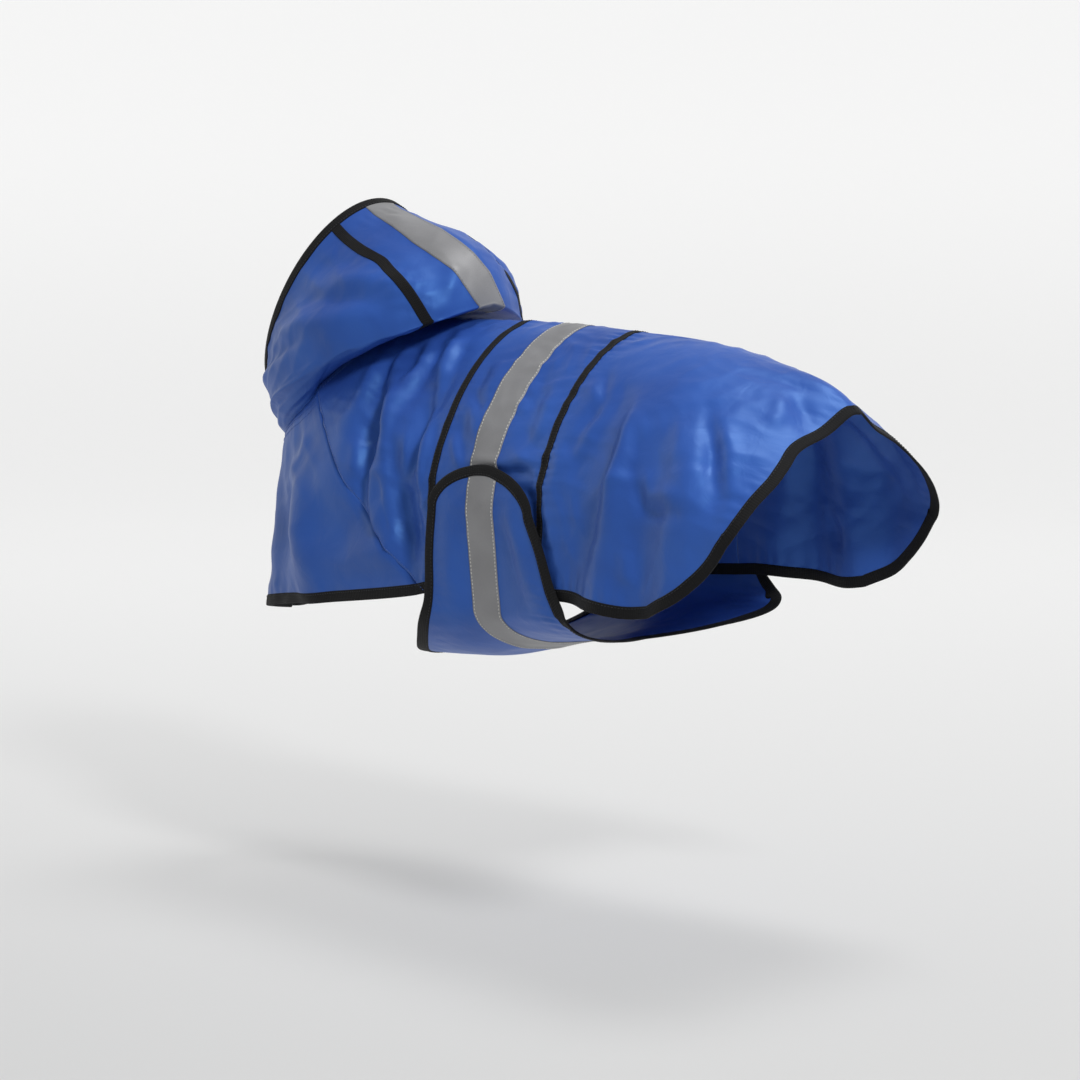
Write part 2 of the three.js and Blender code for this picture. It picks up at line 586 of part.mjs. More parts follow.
// A wall between two offsets from a grid of surface points
function wall(grid, outer, inner) {
  const loops = grid.map((row) => {
    const top = row.map(({ p, n }) => p.clone().addScaledVector(n, outer));
    const bottom = row.map(({ p, n }) => p.clone().addScaledVector(n, inner));
    return [...top, ...bottom.reverse()];
  });
  const count = loops[0].length;
  const half = count / 2;
  const cap = (first, quad) => {
    for (let k = 0; k + 1 < half; k += 1) {
      quad(first + k, first + k + 1, first + count - 2 - k, first + count - 1 - k);
    }
  };
  const split = (i, k) => {
    const under = k >= half;
    const j = under ? count - 2 - k : k;
    if (j < 0 || j + 1 >= half) return true;
    const [p, q, r, t] = [grid[i][j].p, grid[i][j + 1].p, grid[i + 1][j + 1].p, grid[i + 1][j].p];
    return splitsFromFirst(p, q, r, t) !== under;
  };
  return loft(loops, cap, split);
}
const cloth = (grid) => wall(grid, 0, -CLOTH);

// Tape that lies on the outer face, on the given rows and columns of a grid
function tapeOn(grid, rows, columns) {
  const kept = rows.map((i) => columns.map((j) => grid[i][j]));
  return wall(kept.map(shortened), GAP + TAPE, GAP);
}
// A row of points with both ends drawn in by the gap, so that the tape ends clear of the binding
function shortened(row) {
  const pulled = (q, towards) => ({ p: q.p.clone().lerp(towards.p, GAP / q.p.distanceTo(towards.p)), n: q.n });
  return [pulled(row[0], row[1]), ...row.slice(1, -1), pulled(row.at(-1), row.at(-2))];
}

// Binding folded over an edge: each frame holds a point on the edge and one a binding's width inside it
function edgeBinding(frames, closed) {
  const count = frames.length;
  const loops = frames.map(({ edge, inner }, i) => {
    const before = frames[closed ? (i + count - 1) % count : Math.max(0, i - 1)].edge.p;
    const after = frames[closed ? (i + 1) % count : Math.min(count - 1, i + 1)].edge.p;
    const out = after.clone().sub(before).cross(edge.n).normalize();
    if (out.dot(edge.p.clone().sub(inner.p)) < 0) out.negate();
    const at = (q, lift, push) => q.p.clone().addScaledVector(q.n, lift).addScaledVector(out, push);
    const [near, far] = [GAP, GAP + TAPE];
    return [
      at(inner, far, 0),
      at(edge, far, far),
      at(edge, -CLOTH - far, far),
      at(inner, -CLOTH - far, 0),
      at(inner, -CLOTH - near, 0),
      at(edge, -CLOTH - near, near),
      at(edge, near, near),
      at(inner, near, 0),
    ];
  });
  if (closed) loops.push(loops[0]);
  const cap = (first, quad) => {
    if (closed) return;
    quad(first, first + 1, first + 6, first + 7);
    quad(first + 1, first + 2, first + 5, first + 6);
    quad(first + 2, first + 3, first + 4, first + 5);
  };
  const split = (i, k) => {
    const [f, g] = [frames[i], frames[(i + 1) % count]];
    return splitsFromFirst(f.inner.p, f.edge.p, g.edge.p, g.inner.p) === (k % 4 === 0);
  };
  return loft(loops, cap, split);
}
const between = (f, g) => {
  const half = (p, q) => ({ p: p.p.clone().lerp(q.p, 0.5), n: p.n.clone().add(q.n).normalize() });
  return { edge: half(f.edge, g.edge), inner: half(f.inner, g.inner) };
};
// Runs of frames joined end to end, with one frame where two runs meet
const joined = (runs) => runs.reduce((all, run) => {
  if (!all.length) return run;
  return [...all.slice(0, -1), between(all.at(-1), run[0]), ...run.slice(1)];
}, []);

// Places round the trunk's girth from the left hem to the right one, and the place beside the hem where the
// binding ends
const halfRows = [...NECK_ROWS.slice(1).map((row) => NECK_CORNER * neckShare(row)), NECK_CORNER, ...LOWER_ROWS];
const hemRing = (edgeX) => {
  let [low, high] = [0.8, 1];
  const rise = (b) => trunk(edgeX(b), b).z - trunk(edgeX(1), 1).z;
  for (let i = 0; i < 30; i += 1) {
    const middle = (low + high) / 2;
    if (rise(middle) > HEM_BINDING) low = middle;
    else high = middle;
  }
  return low;
};
const girthRows = (ring) => {
  const half = [...halfRows, ring, 1];
  return [...half.map((b) => -b).reverse(), 0, ...half];
};
const halfSeam = SEAM_TAPE / 2;
const steps = (n) => range(n).map((i) => i / n);
function trunkPanel({ from, to, along, ring, inset, holdRows }) {
  const start = girthRows(hemRing(from)).map((b) => [from(b), b]);
  const end = girthRows(ring ?? hemRing(to)).map((b) => [to(b), b]);
  const side = (b) => along.map((s) => [lerp(from(b), to(b), s), b]);
  return panel({
    surface: trunk,
    start,
    end,
    first: side(-1),
    last: side(1),
    inset: { first: HEM_BINDING, last: HEM_BINDING, ...inset },
    holdRows,
  });
}
// Places along a side, with one more at each end for the tape that lies there
function alongSide(length, count, startTape, endTape) {
  const [from, to] = [startTape / length, 1 - endTape / length];
  const inner = steps(count).map((s) => lerp(from, to, s));
  return [...(startTape ? [0] : []), ...inner, ...(endTape ? [1] : [])];
}
const shift = (f, by) => (b) => f(b) + by;
const shoulderGrid = trunkPanel({
  from: shift(frontX, SEAM_GAP),
  to: shift(waistFrontX, -SEAM_GAP / 2),
  along: alongSide(23, SHOULDER_STEPS, 0, halfSeam),
  inset: { end: halfSeam },
});
const waistAlong = alongSide(138, WAIST_STEPS, halfSeam, halfSeam);
const waistGrid = trunkPanel({
  from: shift(waistFrontX, SEAM_GAP / 2),
  to: shift(waistRearX, -SEAM_GAP / 2),
  along: waistAlong,
  inset: { start: halfSeam, end: halfSeam },
  holdRows: [
    { i: WAIST_TAPE_ROWS[0], a: REFLECTIVE_X - REFLECTIVE / 2 },
    { i: WAIST_TAPE_ROWS[1], a: REFLECTIVE_X + REFLECTIVE / 2 },
  ],
});
const skirtGrid = trunkPanel({
  from: shift(waistRearX, SEAM_GAP / 2),
  to: (b) => rearHemX(Math.abs(b)),
  along: alongSide(150, SKIRT_STEPS, halfSeam, HEM_BINDING * 2),
  ring: 0.93,
  inset: { start: halfSeam, end: HEM_BINDING },
});

// The two fronts, from the shoulder seams to the closure
const seamBs = girthRows(hemRing(shift(frontX, SEAM_GAP))).filter((b) => b >= NECK_CORNER - 1e-9);
const levels = seamBs.map((b) => (shoulderSeamX(b) - SHOULDER_SEAM[0].x) / (SHOULDER_SEAM.at(-1).x - SHOULDER_SEAM[0].x));
function frontPanel(surface, turns) {
  const chestLevels = levels.map((level, i) => (i === 0 ? 0 : i === levels.length - 1 ? 1 : level));
  return panel({
    surface,
    start: turns.map((turn) => [0, turn]),
    end: turns.map((turn) => [1, turn]),
    first: chestLevels.map((level) => [level, turns[0]]),
    last: chestLevels.map((level) => [level, turns.at(-1)]),
    inset: { end: HEM_BINDING },
  });
}
const leftFrontGrid = frontPanel(chest, LEFT_TURNS);
const rightTurns = [...LEFT_TURNS.filter((turn) => turn < 70).map((turn) => 180 - turn), ...LAP_TURNS];
const rightFrontGrid = frontPanel(lapped, rightTurns);
// The shoulder panel and each front share their normals along the seam, so that their walls stay apart
const last = shoulderGrid[0].length - 1;
levels.forEach((_, k) => {
  const column0 = levels.length - 1 - k;
  for (const [grid, at] of [[leftFrontGrid, column0], [rightFrontGrid, last - column0]]) {
    const shared = grid[k][0].n.clone().add(shoulderGrid[0][at].n).normalize();
    grid[k][0].n.copy(shared);
    shoulderGrid[0][at].n.copy(shared);
  }
});

// The hood's three panels
function hoodPanel(turns, rows, inset, holdColumns) {
  return panel({
    surface: hood,
    start: turns.map((turn) => [0, turn]),
    end: turns.map((turn) => [1, turn]),
    first: rows.map((v) => [v, turns[0]]),
    last: rows.map((v) => [v, turns.at(-1)]),
    inset: { end: HEM_BINDING, ...inset },
    holdColumns,
  });
}
const hoodRows = [0, 0.09, 0.18, 0.26, 0.32, 0.36, 0.4, 0.45, 0.52, 0.61, 0.7, 0.79, 0.87, 0.93, 1];
const crownTurns = [-HOOD_PANEL, -28, -18, -9, 0, 9, 18, 28, HOOD_PANEL];
const sideTurns = [HOOD_PANEL + HOOD_SEAM_GAP, 44, ...neckTurns.filter((turn) => turn > 50 && turn <= HOOD_CORNER)];
const crownGrid = hoodPanel(crownTurns, hoodRows, { first: HOOD_TAPE / 2, last: HOOD_TAPE / 2 }, [
  { j: 3, b: (v) => -hoodTurnAt(v, REFLECTIVE / 2) },
  { j: 4, b: () => 0 },
  { j: 5, b: (v) => hoodTurnAt(v, REFLECTIVE / 2) },
]);
const hoodRightGrid = hoodPanel(sideTurns, hoodRows, { first: HOOD_TAPE / 2 });
const hoodLeftGrid = hoodPanel(sideTurns.map((turn) => -turn), hoodRows, { first: HOOD_TAPE / 2 });

// The belly strap's grid, from its left end round the belly to its right end
const endQs = STRAP_END_W.map((w) => {
  const { full, round } = w > 0 ? STRAP_END.rear : STRAP_END.front;
  return lerp(STRAP_END_Q, STRAP_TOP_Q, Math.max(0, 1 - Math.abs(w) ** full) ** round);
});
const sideQs = range(STRAP_STEPS).map((i) => lerp(-STRAP_END_Q, STRAP_END_Q, i / STRAP_STEPS));
const strapGrid = panel({
  surface: strap,
  start: STRAP_END_W.map((w, j) => [-endQs[j], w]),
  end: STRAP_END_W.map((w, j) => [endQs[j], w]),
  first: sideQs.map((q) => [q, -1]),
  last: sideQs.map((q) => [q, 1]),
  inset: { start: HEM_BINDING, end: HEM_BINDING, first: HEM_BINDING, last: HEM_BINDING },
  holdColumns: STRAP_END_W.map((w, j) => ({ j, b: () => w })).filter(({ b }) => Math.abs(b()) <= TAPE_AT),
});

// Frames for a binding along one side of a grid
const frame = (grid, i, j, k, l) => ({ edge: grid[i][j], inner: grid[k][l] });
const hemSide = (grid, left) => grid.map((row, i) => {
  const [edge, inner] = left ? [0, 1] : [row.length - 1, row.length - 2];
  return frame(grid, i, edge, i, inner);
});
const frontRun = (grid) => grid.at(-1).map((_, j) => frame(grid, grid.length - 1, j, grid.length - 2, j));
function skirtRun(grid) {
  const [ni, nj] = [grid.length - 1, grid[0].length - 1];
  const left = hemSide(grid, true).slice(0, -1);
  const right = hemSide(grid, false).slice(0, -1).reverse();
  const rear = grid[ni].map((_, j) => frame(grid, ni, j, ni - 1, Math.min(nj - 1, Math.max(1, j))));
  return [...left, ...rear, ...right];
}
const hemFrames = joined([
  frontRun(leftFrontGrid).reverse(),
  hemSide(shoulderGrid, true),
  hemSide(waistGrid, true),
  skirtRun(skirtGrid),
  hemSide(waistGrid, false).reverse(),
  hemSide(shoulderGrid, false).reverse(),
  frontRun(rightFrontGrid),
]);
function strapRun(grid) {
  const [ni, nj] = [grid.length - 1, grid[0].length - 1];
  const inside = (k, n) => Math.min(n - 1, Math.max(1, k));
  const at = (i, j) => frame(grid, i, j, inside(i, ni), inside(j, nj));
  const [over, down] = [range(nj), range(ni)];
  return [
    ...over.map((j) => at(0, j)),
    ...down.slice(1).map((i) => at(i, nj)),
    ...over.slice(0, -1).reverse().map((j) => at(ni, j)),
    ...down.slice(1, -1).reverse().map((i) => at(i, 0)),
  ];
}
const hoodFrames = joined([
  frontRun(hoodLeftGrid).reverse(),
  frontRun(crownGrid),
  frontRun(hoodRightGrid),
]);

// Tape over the seam between two grids that meet: two rows of the first's side and two of the second's
const seamTape = (...rows) => wall(rows.map(shortened), GAP + TAPE, GAP);
const inner = (list) => list.slice(1, -1);
const columnOf = (grid, j) => grid.map((row) => row.at(j));

const BLUE = { color: 0x2f55a8, roughness: 0.45, metalness: 0 };
const BLACK = { color: 0x141416, roughness: 0.8, metalness: 0 };
const GREY = { color: 0x8f9096, roughness: 0.55, metalness: 0 };
const coat = new THREE.Group();
function add(name, finish, geometry) {
  const mesh = new THREE.Mesh(geometry, new THREE.MeshStandardMaterial(finish));
  mesh.name = name;
  coat.add(mesh);
}
const middleRows = (grid, from, to) => range(to - from).map((k) => from + k);
add("back_skirt", BLUE, cloth(skirtGrid));
add("waist_panel", BLUE, cloth(waistGrid));
add("shoulder_panel", BLUE, cloth(shoulderGrid));
add("left_front", BLUE, cloth(leftFrontGrid));
add("right_front", BLUE, cloth(rightFrontGrid));
add("hood_crown", BLUE, cloth(crownGrid));
add("hood_side_left", BLUE, cloth(hoodLeftGrid));
add("hood_side_right", BLUE, cloth(hoodRightGrid));
const hoodSeamRows = (grid, j) => columnOf(grid, j).slice(HOOD_TAPE_ROW, -1);
for (const [name, side, edge, next] of [["left", hoodLeftGrid, 0, 1], ["right", hoodRightGrid, -1, -2]]) {
  const tape = seamTape(
    hoodSeamRows(side, 1),
    hoodSeamRows(side, 0),
    hoodSeamRows(crownGrid, edge),
    hoodSeamRows(crownGrid, next),
  );
  add(`hood_seam_${name}`, BLACK, tape);
}
add("hood_edge_binding", BLACK, edgeBinding(hoodFrames, false));
const crownRows = middleRows(crownGrid, HOOD_TAPE_ROW, crownGrid.length - 2);
add("hood_reflective", GREY, wall(
  [3, 4, 5].map((j) => shortened(crownRows.map((i) => crownGrid[i][j]))), GAP + TAPE, GAP));
add("waist_seam_front", BLACK, seamTape(
  inner(shoulderGrid.at(-2)), inner(shoulderGrid.at(-1)), inner(waistGrid[0]), inner(waistGrid[1])));
add("waist_seam_rear", BLACK, seamTape(
  inner(waistGrid.at(-2)), inner(waistGrid.at(-1)), inner(skirtGrid[0]), inner(skirtGrid[1])));
const girthColumns = inner(range(waistGrid[0].length - 1));
add("waist_reflective", GREY, tapeOn(waistGrid, middleRows(waistGrid, ...WAIST_TAPE_ROWS), girthColumns));
add("hem_binding", BLACK, edgeBinding(hemFrames, false));
add("belly_strap", BLUE, cloth(strapGrid));
add("strap_binding", BLACK, edgeBinding(strapRun(strapGrid), true));
const strapTapeColumns = STRAP_END_W.map((w, j) => j).filter((j) => Math.abs(STRAP_END_W[j]) <= TAPE_AT);
add("strap_reflective", GREY, wall(
  strapTapeColumns.map((j) => shortened(inner(strapGrid).map((row) => row[j]))), GAP + TAPE, GAP));

export default coat;
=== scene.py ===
import math

import bpy
import numpy as np
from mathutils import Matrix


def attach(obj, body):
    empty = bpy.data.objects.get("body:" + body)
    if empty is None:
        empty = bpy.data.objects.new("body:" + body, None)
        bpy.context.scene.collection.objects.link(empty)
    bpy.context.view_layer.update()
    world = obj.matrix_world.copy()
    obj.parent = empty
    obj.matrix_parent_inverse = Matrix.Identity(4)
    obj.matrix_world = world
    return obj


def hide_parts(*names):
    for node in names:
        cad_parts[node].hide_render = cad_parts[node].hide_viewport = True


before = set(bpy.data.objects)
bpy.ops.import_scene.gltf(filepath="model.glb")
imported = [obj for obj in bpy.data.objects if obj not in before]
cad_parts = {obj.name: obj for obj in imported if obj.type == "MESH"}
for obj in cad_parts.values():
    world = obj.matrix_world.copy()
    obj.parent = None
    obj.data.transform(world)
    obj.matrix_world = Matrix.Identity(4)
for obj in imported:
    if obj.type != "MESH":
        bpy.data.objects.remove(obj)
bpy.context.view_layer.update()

# A raincoat of blue coated taffeta, in the shape that it has when worn.
# All tables are in millimetres, with +X towards the rear hem, the left side at -Y and +Z up.
MM = 0.001
CLOTH_WALL = 0.5
TAPE_WALL = 0.35
TAPE_LIFT = 0.5
HEM_BINDING = 10
SEAM_TAPE = 9
HOOD_TAPE = 11
REFLECTIVE = 36
LAP_LIFT = 4.6
STRAP_LIFT = 4.7
STRAP_ROOM = 1.2
LOWER_UNIT = 100
TAPE_END_B = 0.965
TAPE_STITCH_IN = 1.8
SEAM_STITCH_IN = 1.3
ON_TAPE = TAPE_LIFT + 0.15
ON_BINDING = TAPE_LIFT + 0.42
ON_CLOTH = 0.15
FRONT_LENGTH = 170
FLOOR_Z = -580
# The studio paper's own glow, which paints the studio's light: on its far side, on its near side, and the
# share of it kept on the floor
FAR_GLOW = 0.67
NEAR_GLOW = 0.14
FLOOR_GLOW_SHARE = 0.86
# The studio's round paper floor in metres: where it starts to curve up, the curve, and its top edge
BOWL = {"floor": 3.6, "bend": 2.4, "top": 5.0, "sides": 96}

# The body of the coat from the neck seam to the rear hem, a column for each station along the back
STATIONS = {
    "x": [-80, -10, 70, 150, 225, 290, 360, 420, 480, 520, 560],
    "ridge": [-4, 1, 4, 4, 2, -3, -8, -18, -38, -60, -93],
    "half": [112, 124, 133, 137, 137, 138, 144, 149, 150, 147, 143],
    "drop": [138, 150, 162, 168, 168, 166, 160, 150, 130, 112, 90],
    "round": [1.72, 1.66, 1.62, 1.62, 1.64, 1.66, 1.72, 1.78, 1.7, 1.58, 1.5],
    "flare": [8, 8, 9, -2, -12, 0, 11, 10, 6, 2, 0],
}
TAIL_TENT = {"height": 17, "half_width": 24, "start": 435, "end": 550}
SIDE_HEM = {
    "x": [-80, 60, 140, 220, 290, 330, 370, 410, 440, 560],
    "z": [-268, -256, -249, -246, -242, -239, -242, -245, -242, -226],
}
REAR_HEM = {
    "x": [440, 470, 493, 510, 523, 534, 539, 543, 542, 539, 543, 550],
    "z": [-242, -229, -212, -195, -176, -157, -140, -124, -110, -97, -85, -72],
}
SHOULDER_SEAM = {
    "x": [-66, -40, -6, 31, 71, 108, 139],
    "z": [-66, -92, -125, -160, -196, -227, -249],
}
NECK_TOP_X = -10
CORNER_TURN = 78
WAIST_FRONT = {"ridge": 148, "hem": 160}
WAIST_REAR = {"ridge": 289, "hem": 297}
REFLECTIVE_X = 213

# The fronts from the neck seam (level 0) to the front hem (level 1)
CHEST = {
    "level": [0, 0.2, 0.5, 0.75, 1],
    "x": [-172, -167, -168, -177, -191],
    "z": [-139, -172, -220, -263, -306],
    "square": [2.1, 2.15, 2.3, 2.45, 2.6],
}
CHEST_DIP = 0.62
LEFT_END_TURN = 86
LAP_EDGE_TURN = {"level": [0, 0.25, 0.5, 0.75, 1], "turn": [68, 69, 70, 72, 73]}
LAP_RAMP = {"start": 106, "end": 93}

# The hood, pushed back: its bound opening, and the fold that hangs over the neck seam
HOOD_EDGE = {"start": (-66, 123), "end": (-190, -100), "half": 88}
HOOD_FOLD = {"start": (97, 21), "end": (-190, -98), "half": 115, "droop": 9}
HOOD_PANEL = 34
HOOD_CLOSING = 120
HOOD_CORNER = 166
HOOD_CORNER_FOLD = np.array([-5.0, 0.0, 10.0])
HOOD_CORNER_EDGE = np.array([-14.0, 0.0, 36.0])
HOOD_TWIST = 4
FOLD_DEPTH = 9
FOLD_AT = 0.4
HOOD_SWELL = 0.2
NECK_BULGE = 0.3
HOOD_FULLNESS = 0.42
HOOD_CROWN = 0.06
NECK_UP = np.array([-0.45, 0.0, 0.9])
HOOD_STAND = 0.5
HOOD_TAPE_FROM = 0.24
# Degrees by which the hood's left seam, middle and right seam run to the left between fold and opening
HOOD_LEAN = {"turn": [-34, 0, 34], "lean": [8, 12.5, 16]}
HOOD_KINK = {"at": 0.7, "reach": 0.06, "turn": 1.5}

# The strap: q is 0 at its lowest line and 1 at the coat's widest line
STRAP_SIDE_Z = -254
STRAP_SQUARE = 2.1
BELLY = {"x": [20, 80, 140, 200, 260, 330], "z": [-326, -326, -319, -307, -296, -287]}
STRAP_FRONT = {"q": [0, 0.3, 0.5, 0.7, 0.86, 1, 1.5, 1.9], "x": [40, 66, 97, 122, 138, 146, 149, 154]}
STRAP_REAR = {"q": [0, 0.3, 0.6, 0.85, 1, 1.2, 1.6, 1.9], "x": [300, 326, 346, 344, 335, 320, 303, 288]}
STRAP_TAPE_X = 221
STRAP_END_Q = 1.9
STRAP_TOP_Q = 2.28
STRAP_END = {"front": (2.3, 0.55), "rear": (1.9, 0.62)}
TAPE_AT = 0.34

# The folds that the solids have too: a soft trough or ridge along a line seen from the side
FOLDS = {
    "x1": [30, 62, 96, 0, 345, 384, 427, 470, -70, -112],
    "z1": [-40, -55, -50, -60, -60, -70, -75, -85, -150, -150],
    "x2": [64, 90, 114, 26, 335, 380, 427, 464, -25, -100],
    "z2": [-215, -200, -225, -180, -240, -244, -238, -225, -262, -280],
    "width": [20, 18, 18, 20, 24, 22, 24, 22, 26, 22],
    "depth": [-8, 6, -7, 5, -8, 6, -8, 6, 7, -5],
}
# The dressed cloth takes this share of those folds, because its creases add to them
FOLD_SHARE = 0.8

# Finer creases. Each row gives the width, the depth (positive where it stands out), whether it is sharp, and
# the places of the line that it follows. On the trunk: x along the back, w down the side from the ridge
LEFT_CREASES = [
    (6, -2.2, True, [(34, 60), (52, 96), (60, 140)]),
    (7, 2.2, True, [(26, 84), (40, 130), (46, 176)]),
    (6, 2.2, True, [(88, 48), (96, 92), (97, 138)]),
    (6, -1.8, True, [(110, 58), (114, 96), (118, 132)]),
    (7, 2.6, True, [(92, 196), (100, 240), (98, 290)]),
    (7, -2.4, True, [(122, 268), (128, 316), (140, 352)]),
    (7, -2.2, True, [(66, 262), (78, 306), (96, 348)]),
    (7, -2.2, True, [(36, 196), (40, 236)]),
    (6, 1.6, True, [(178, 96), (184, 128), (182, 166)]),
    (5, 1.8, True, [(170, 178), (186, 196), (196, 222)]),
    (6, -1.6, True, [(246, 196), (262, 216), (284, 226)]),
    (5, 1.5, True, [(236, 226), (256, 236), (286, 260)]),
    (6, 2.0, True, [(300, 128), (318, 140), (334, 168)]),
    (6, -1.8, True, [(300, 212), (320, 226), (336, 256)]),
    (7, 1.8, True, [(300, 268), (322, 292), (334, 330)]),
    (7, -1.8, True, [(342, 118), (352, 150), (350, 190)]),
    (7, -2.0, True, [(392, 190), (404, 236), (402, 286)]),
    (7, 2.0, True, [(436, 176), (448, 216), (452, 250)]),
    (5, -1.5, True, [(428, 292), (452, 304), (486, 300)]),
    (6, -1.8, True, [(476, 190), (486, 224), (486, 250)]),
    (7, -3.2, True, [(68, 39), (82, 102), (84, 139), (78, 199)]),
    (9, 2.6, False, [(56, 45), (70, 108), (70, 150), (62, 205)]),
    (11, -3.2, False, [(22, 109), (44, 190), (49, 255), (47, 300)]),
    (9, 2.4, False, [(47, 130), (66, 200), (74, 250)]),
    (9, -3.4, False, [(102, 150), (113, 215), (111, 285)]),
    (8, 2.4, False, [(120, 190), (134, 260), (138, 320)]),
    (12, -4.2, False, [(79, 215), (94, 267), (110, 325), (128, 362)]),
    (10, 2.8, False, [(56, 232), (62, 300), (84, 350)]),
    (9, 2.0, False, [(30, 225), (36, 280)]),
    (6, -2.0, True, [(124, 112), (121, 150), (126, 205)]),
    (8, 1.8, False, [(96, 60), (106, 110), (112, 150)]),
    (8, -1.8, False, [(16, 72), (24, 120), (27, 170)]),
    (9, 1.8, False, [(2, 96), (12, 150), (14, 205)]),
    (6, -2.2, True, [(158, 186), (172, 220), (193, 256)]),
    (5, 1.6, False, [(160, 215), (172, 240), (186, 262)]),
    (6, -1.2, False, [(166, 109), (170, 153)]),
    (6, -1.4, False, [(162, 147), (186, 182)]),
    (5, -2.4, True, [(190, 258), (236, 261), (262, 255), (289, 248)]),
    (7, 1.6, False, [(192, 246), (236, 249), (284, 240)]),
    (13, -1.6, False, [(240, 90), (246, 150), (256, 205)]),
    (11, 1.7, False, [(262, 120), (270, 190), (266, 240)]),
    (12, -3.2, False, [(262, 264), (282, 292), (296, 330)]),
    (6, 2.8, True, [(376, 150), (382, 190), (386, 240), (384, 300)]),
    (15, -3.6, False, [(366, 175), (370, 240), (362, 320), (352, 372)]),
    (9, 2.4, False, [(337, 170), (329, 215), (318, 262)]),
    (8, -2.2, False, [(312, 98), (329, 151), (322, 213)]),
    (10, 2.0, False, [(302, 190), (306, 250), (312, 320)]),
    (5, 1.8, True, [(414, 238), (431, 274), (478, 284)]),
    (7, -1.6, False, [(405, 252), (424, 292), (470, 300)]),
    (11, -3.4, False, [(452, 150), (480, 205), (500, 262), (508, 300)]),
    (9, 2.4, False, [(470, 160), (498, 214), (516, 268)]),
    (8, -2.6, False, [(508, 82), (526, 112), (534, 140)]),
    (8, 2.0, False, [(492, 84), (508, 126), (515, 158)]),
    (6, 1.6, True, [(498, 214), (514, 204), (531, 198)]),
    (8, -1.0, False, [(448, 69), (476, 64), (517, 68)]),
    (4, -1.3, True, [(497, 277), (532, 261)]),
    (8, 1.3, False, [(350, 286), (384, 268), (421, 256)]),
    (9, 2.0, False, [(410, 330), (416, 372)]),
]
RIGHT_CREASES = [
    (8, -3.0, True, [(60, 44), (76, 110), (80, 165), (72, 215)]),
    (9, 2.4, False, [(44, 60), (58, 125), (56, 190)]),
    (11, -3.0, False, [(18, 120), (38, 200), (42, 268)]),
    (9, -3.2, False, [(100, 130), (108, 205), (104, 290)]),
    (9, 2.6, False, [(116, 150), (126, 230), (132, 310)]),
    (12, -3.8, False, [(84, 225), (98, 285), (118, 352)]),
    (10, 2.6, False, [(62, 235), (70, 310), (92, 356)]),
    (6, -1.8, True, [(128, 118), (124, 168)]),
    (6, -2.0, True, [(162, 176), (178, 214), (196, 252)]),
    (5, -2.2, True, [(190, 262), (240, 257), (288, 252)]),
    (12, 1.7, False, [(256, 110), (262, 180), (258, 232)]),
    (10, -1.6, False, [(236, 96), (240, 160)]),
    (14, -3.4, False, [(360, 165), (366, 230), (356, 330)]),
    (8, 2.6, True, [(378, 160), (388, 230), (384, 316)]),
    (9, 2.2, False, [(330, 150), (322, 222), (314, 284)]),
    (8, -2.0, False, [(312, 108), (322, 168)]),
    (12, -3.2, False, [(446, 140), (472, 205), (488, 280)]),
    (9, 2.4, False, [(468, 150), (494, 208), (508, 262)]),
    (5, 1.6, True, [(420, 246), (446, 276), (484, 280)]),
    (8, -2.2, False, [(504, 90), (522, 124)]),
    (9, 2.0, False, [(404, 320), (410, 368)]),
]
# Creases of the fronts: places (turn in degrees from the left shoulder seam, level)
CHEST_CREASES = [
    (12, 3.2, False, [(14, 0.30), (24, 0.62), (22, 0.9)]),
    (12, -3.0, False, [(26, 0.22), (37, 0.55), (36, 0.85)]),
    (6, -1.8, True, [(8, 0.06), (20, 0.14), (44, 0.22)]),
    (6, 1.6, False, [(6, 0.12), (18, 0.22), (36, 0.33)]),
    (13, 2.6, False, [(48, 0.12), (54, 0.5), (52, 0.86)]),
    (11, -2.2, False, [(62, 0.1), (66, 0.45), (64, 0.8)]),
    (11, 2.0, False, [(96, 0.06), (104, 0.4), (101, 0.8)]),
    (12, -2.6, False, [(112, 0.1), (122, 0.45), (124, 0.85)]),
    (12, 2.8, False, [(132, 0.16), (142, 0.5), (144, 0.88)]),
    (11, -2.4, False, [(150, 0.2), (160, 0.55), (163, 0.85)]),
    (6, -1.6, True, [(172, 0.08), (158, 0.16), (138, 0.24)]),
    (9, -2.2, False, [(4, 0.55), (12, 0.8)]),
]
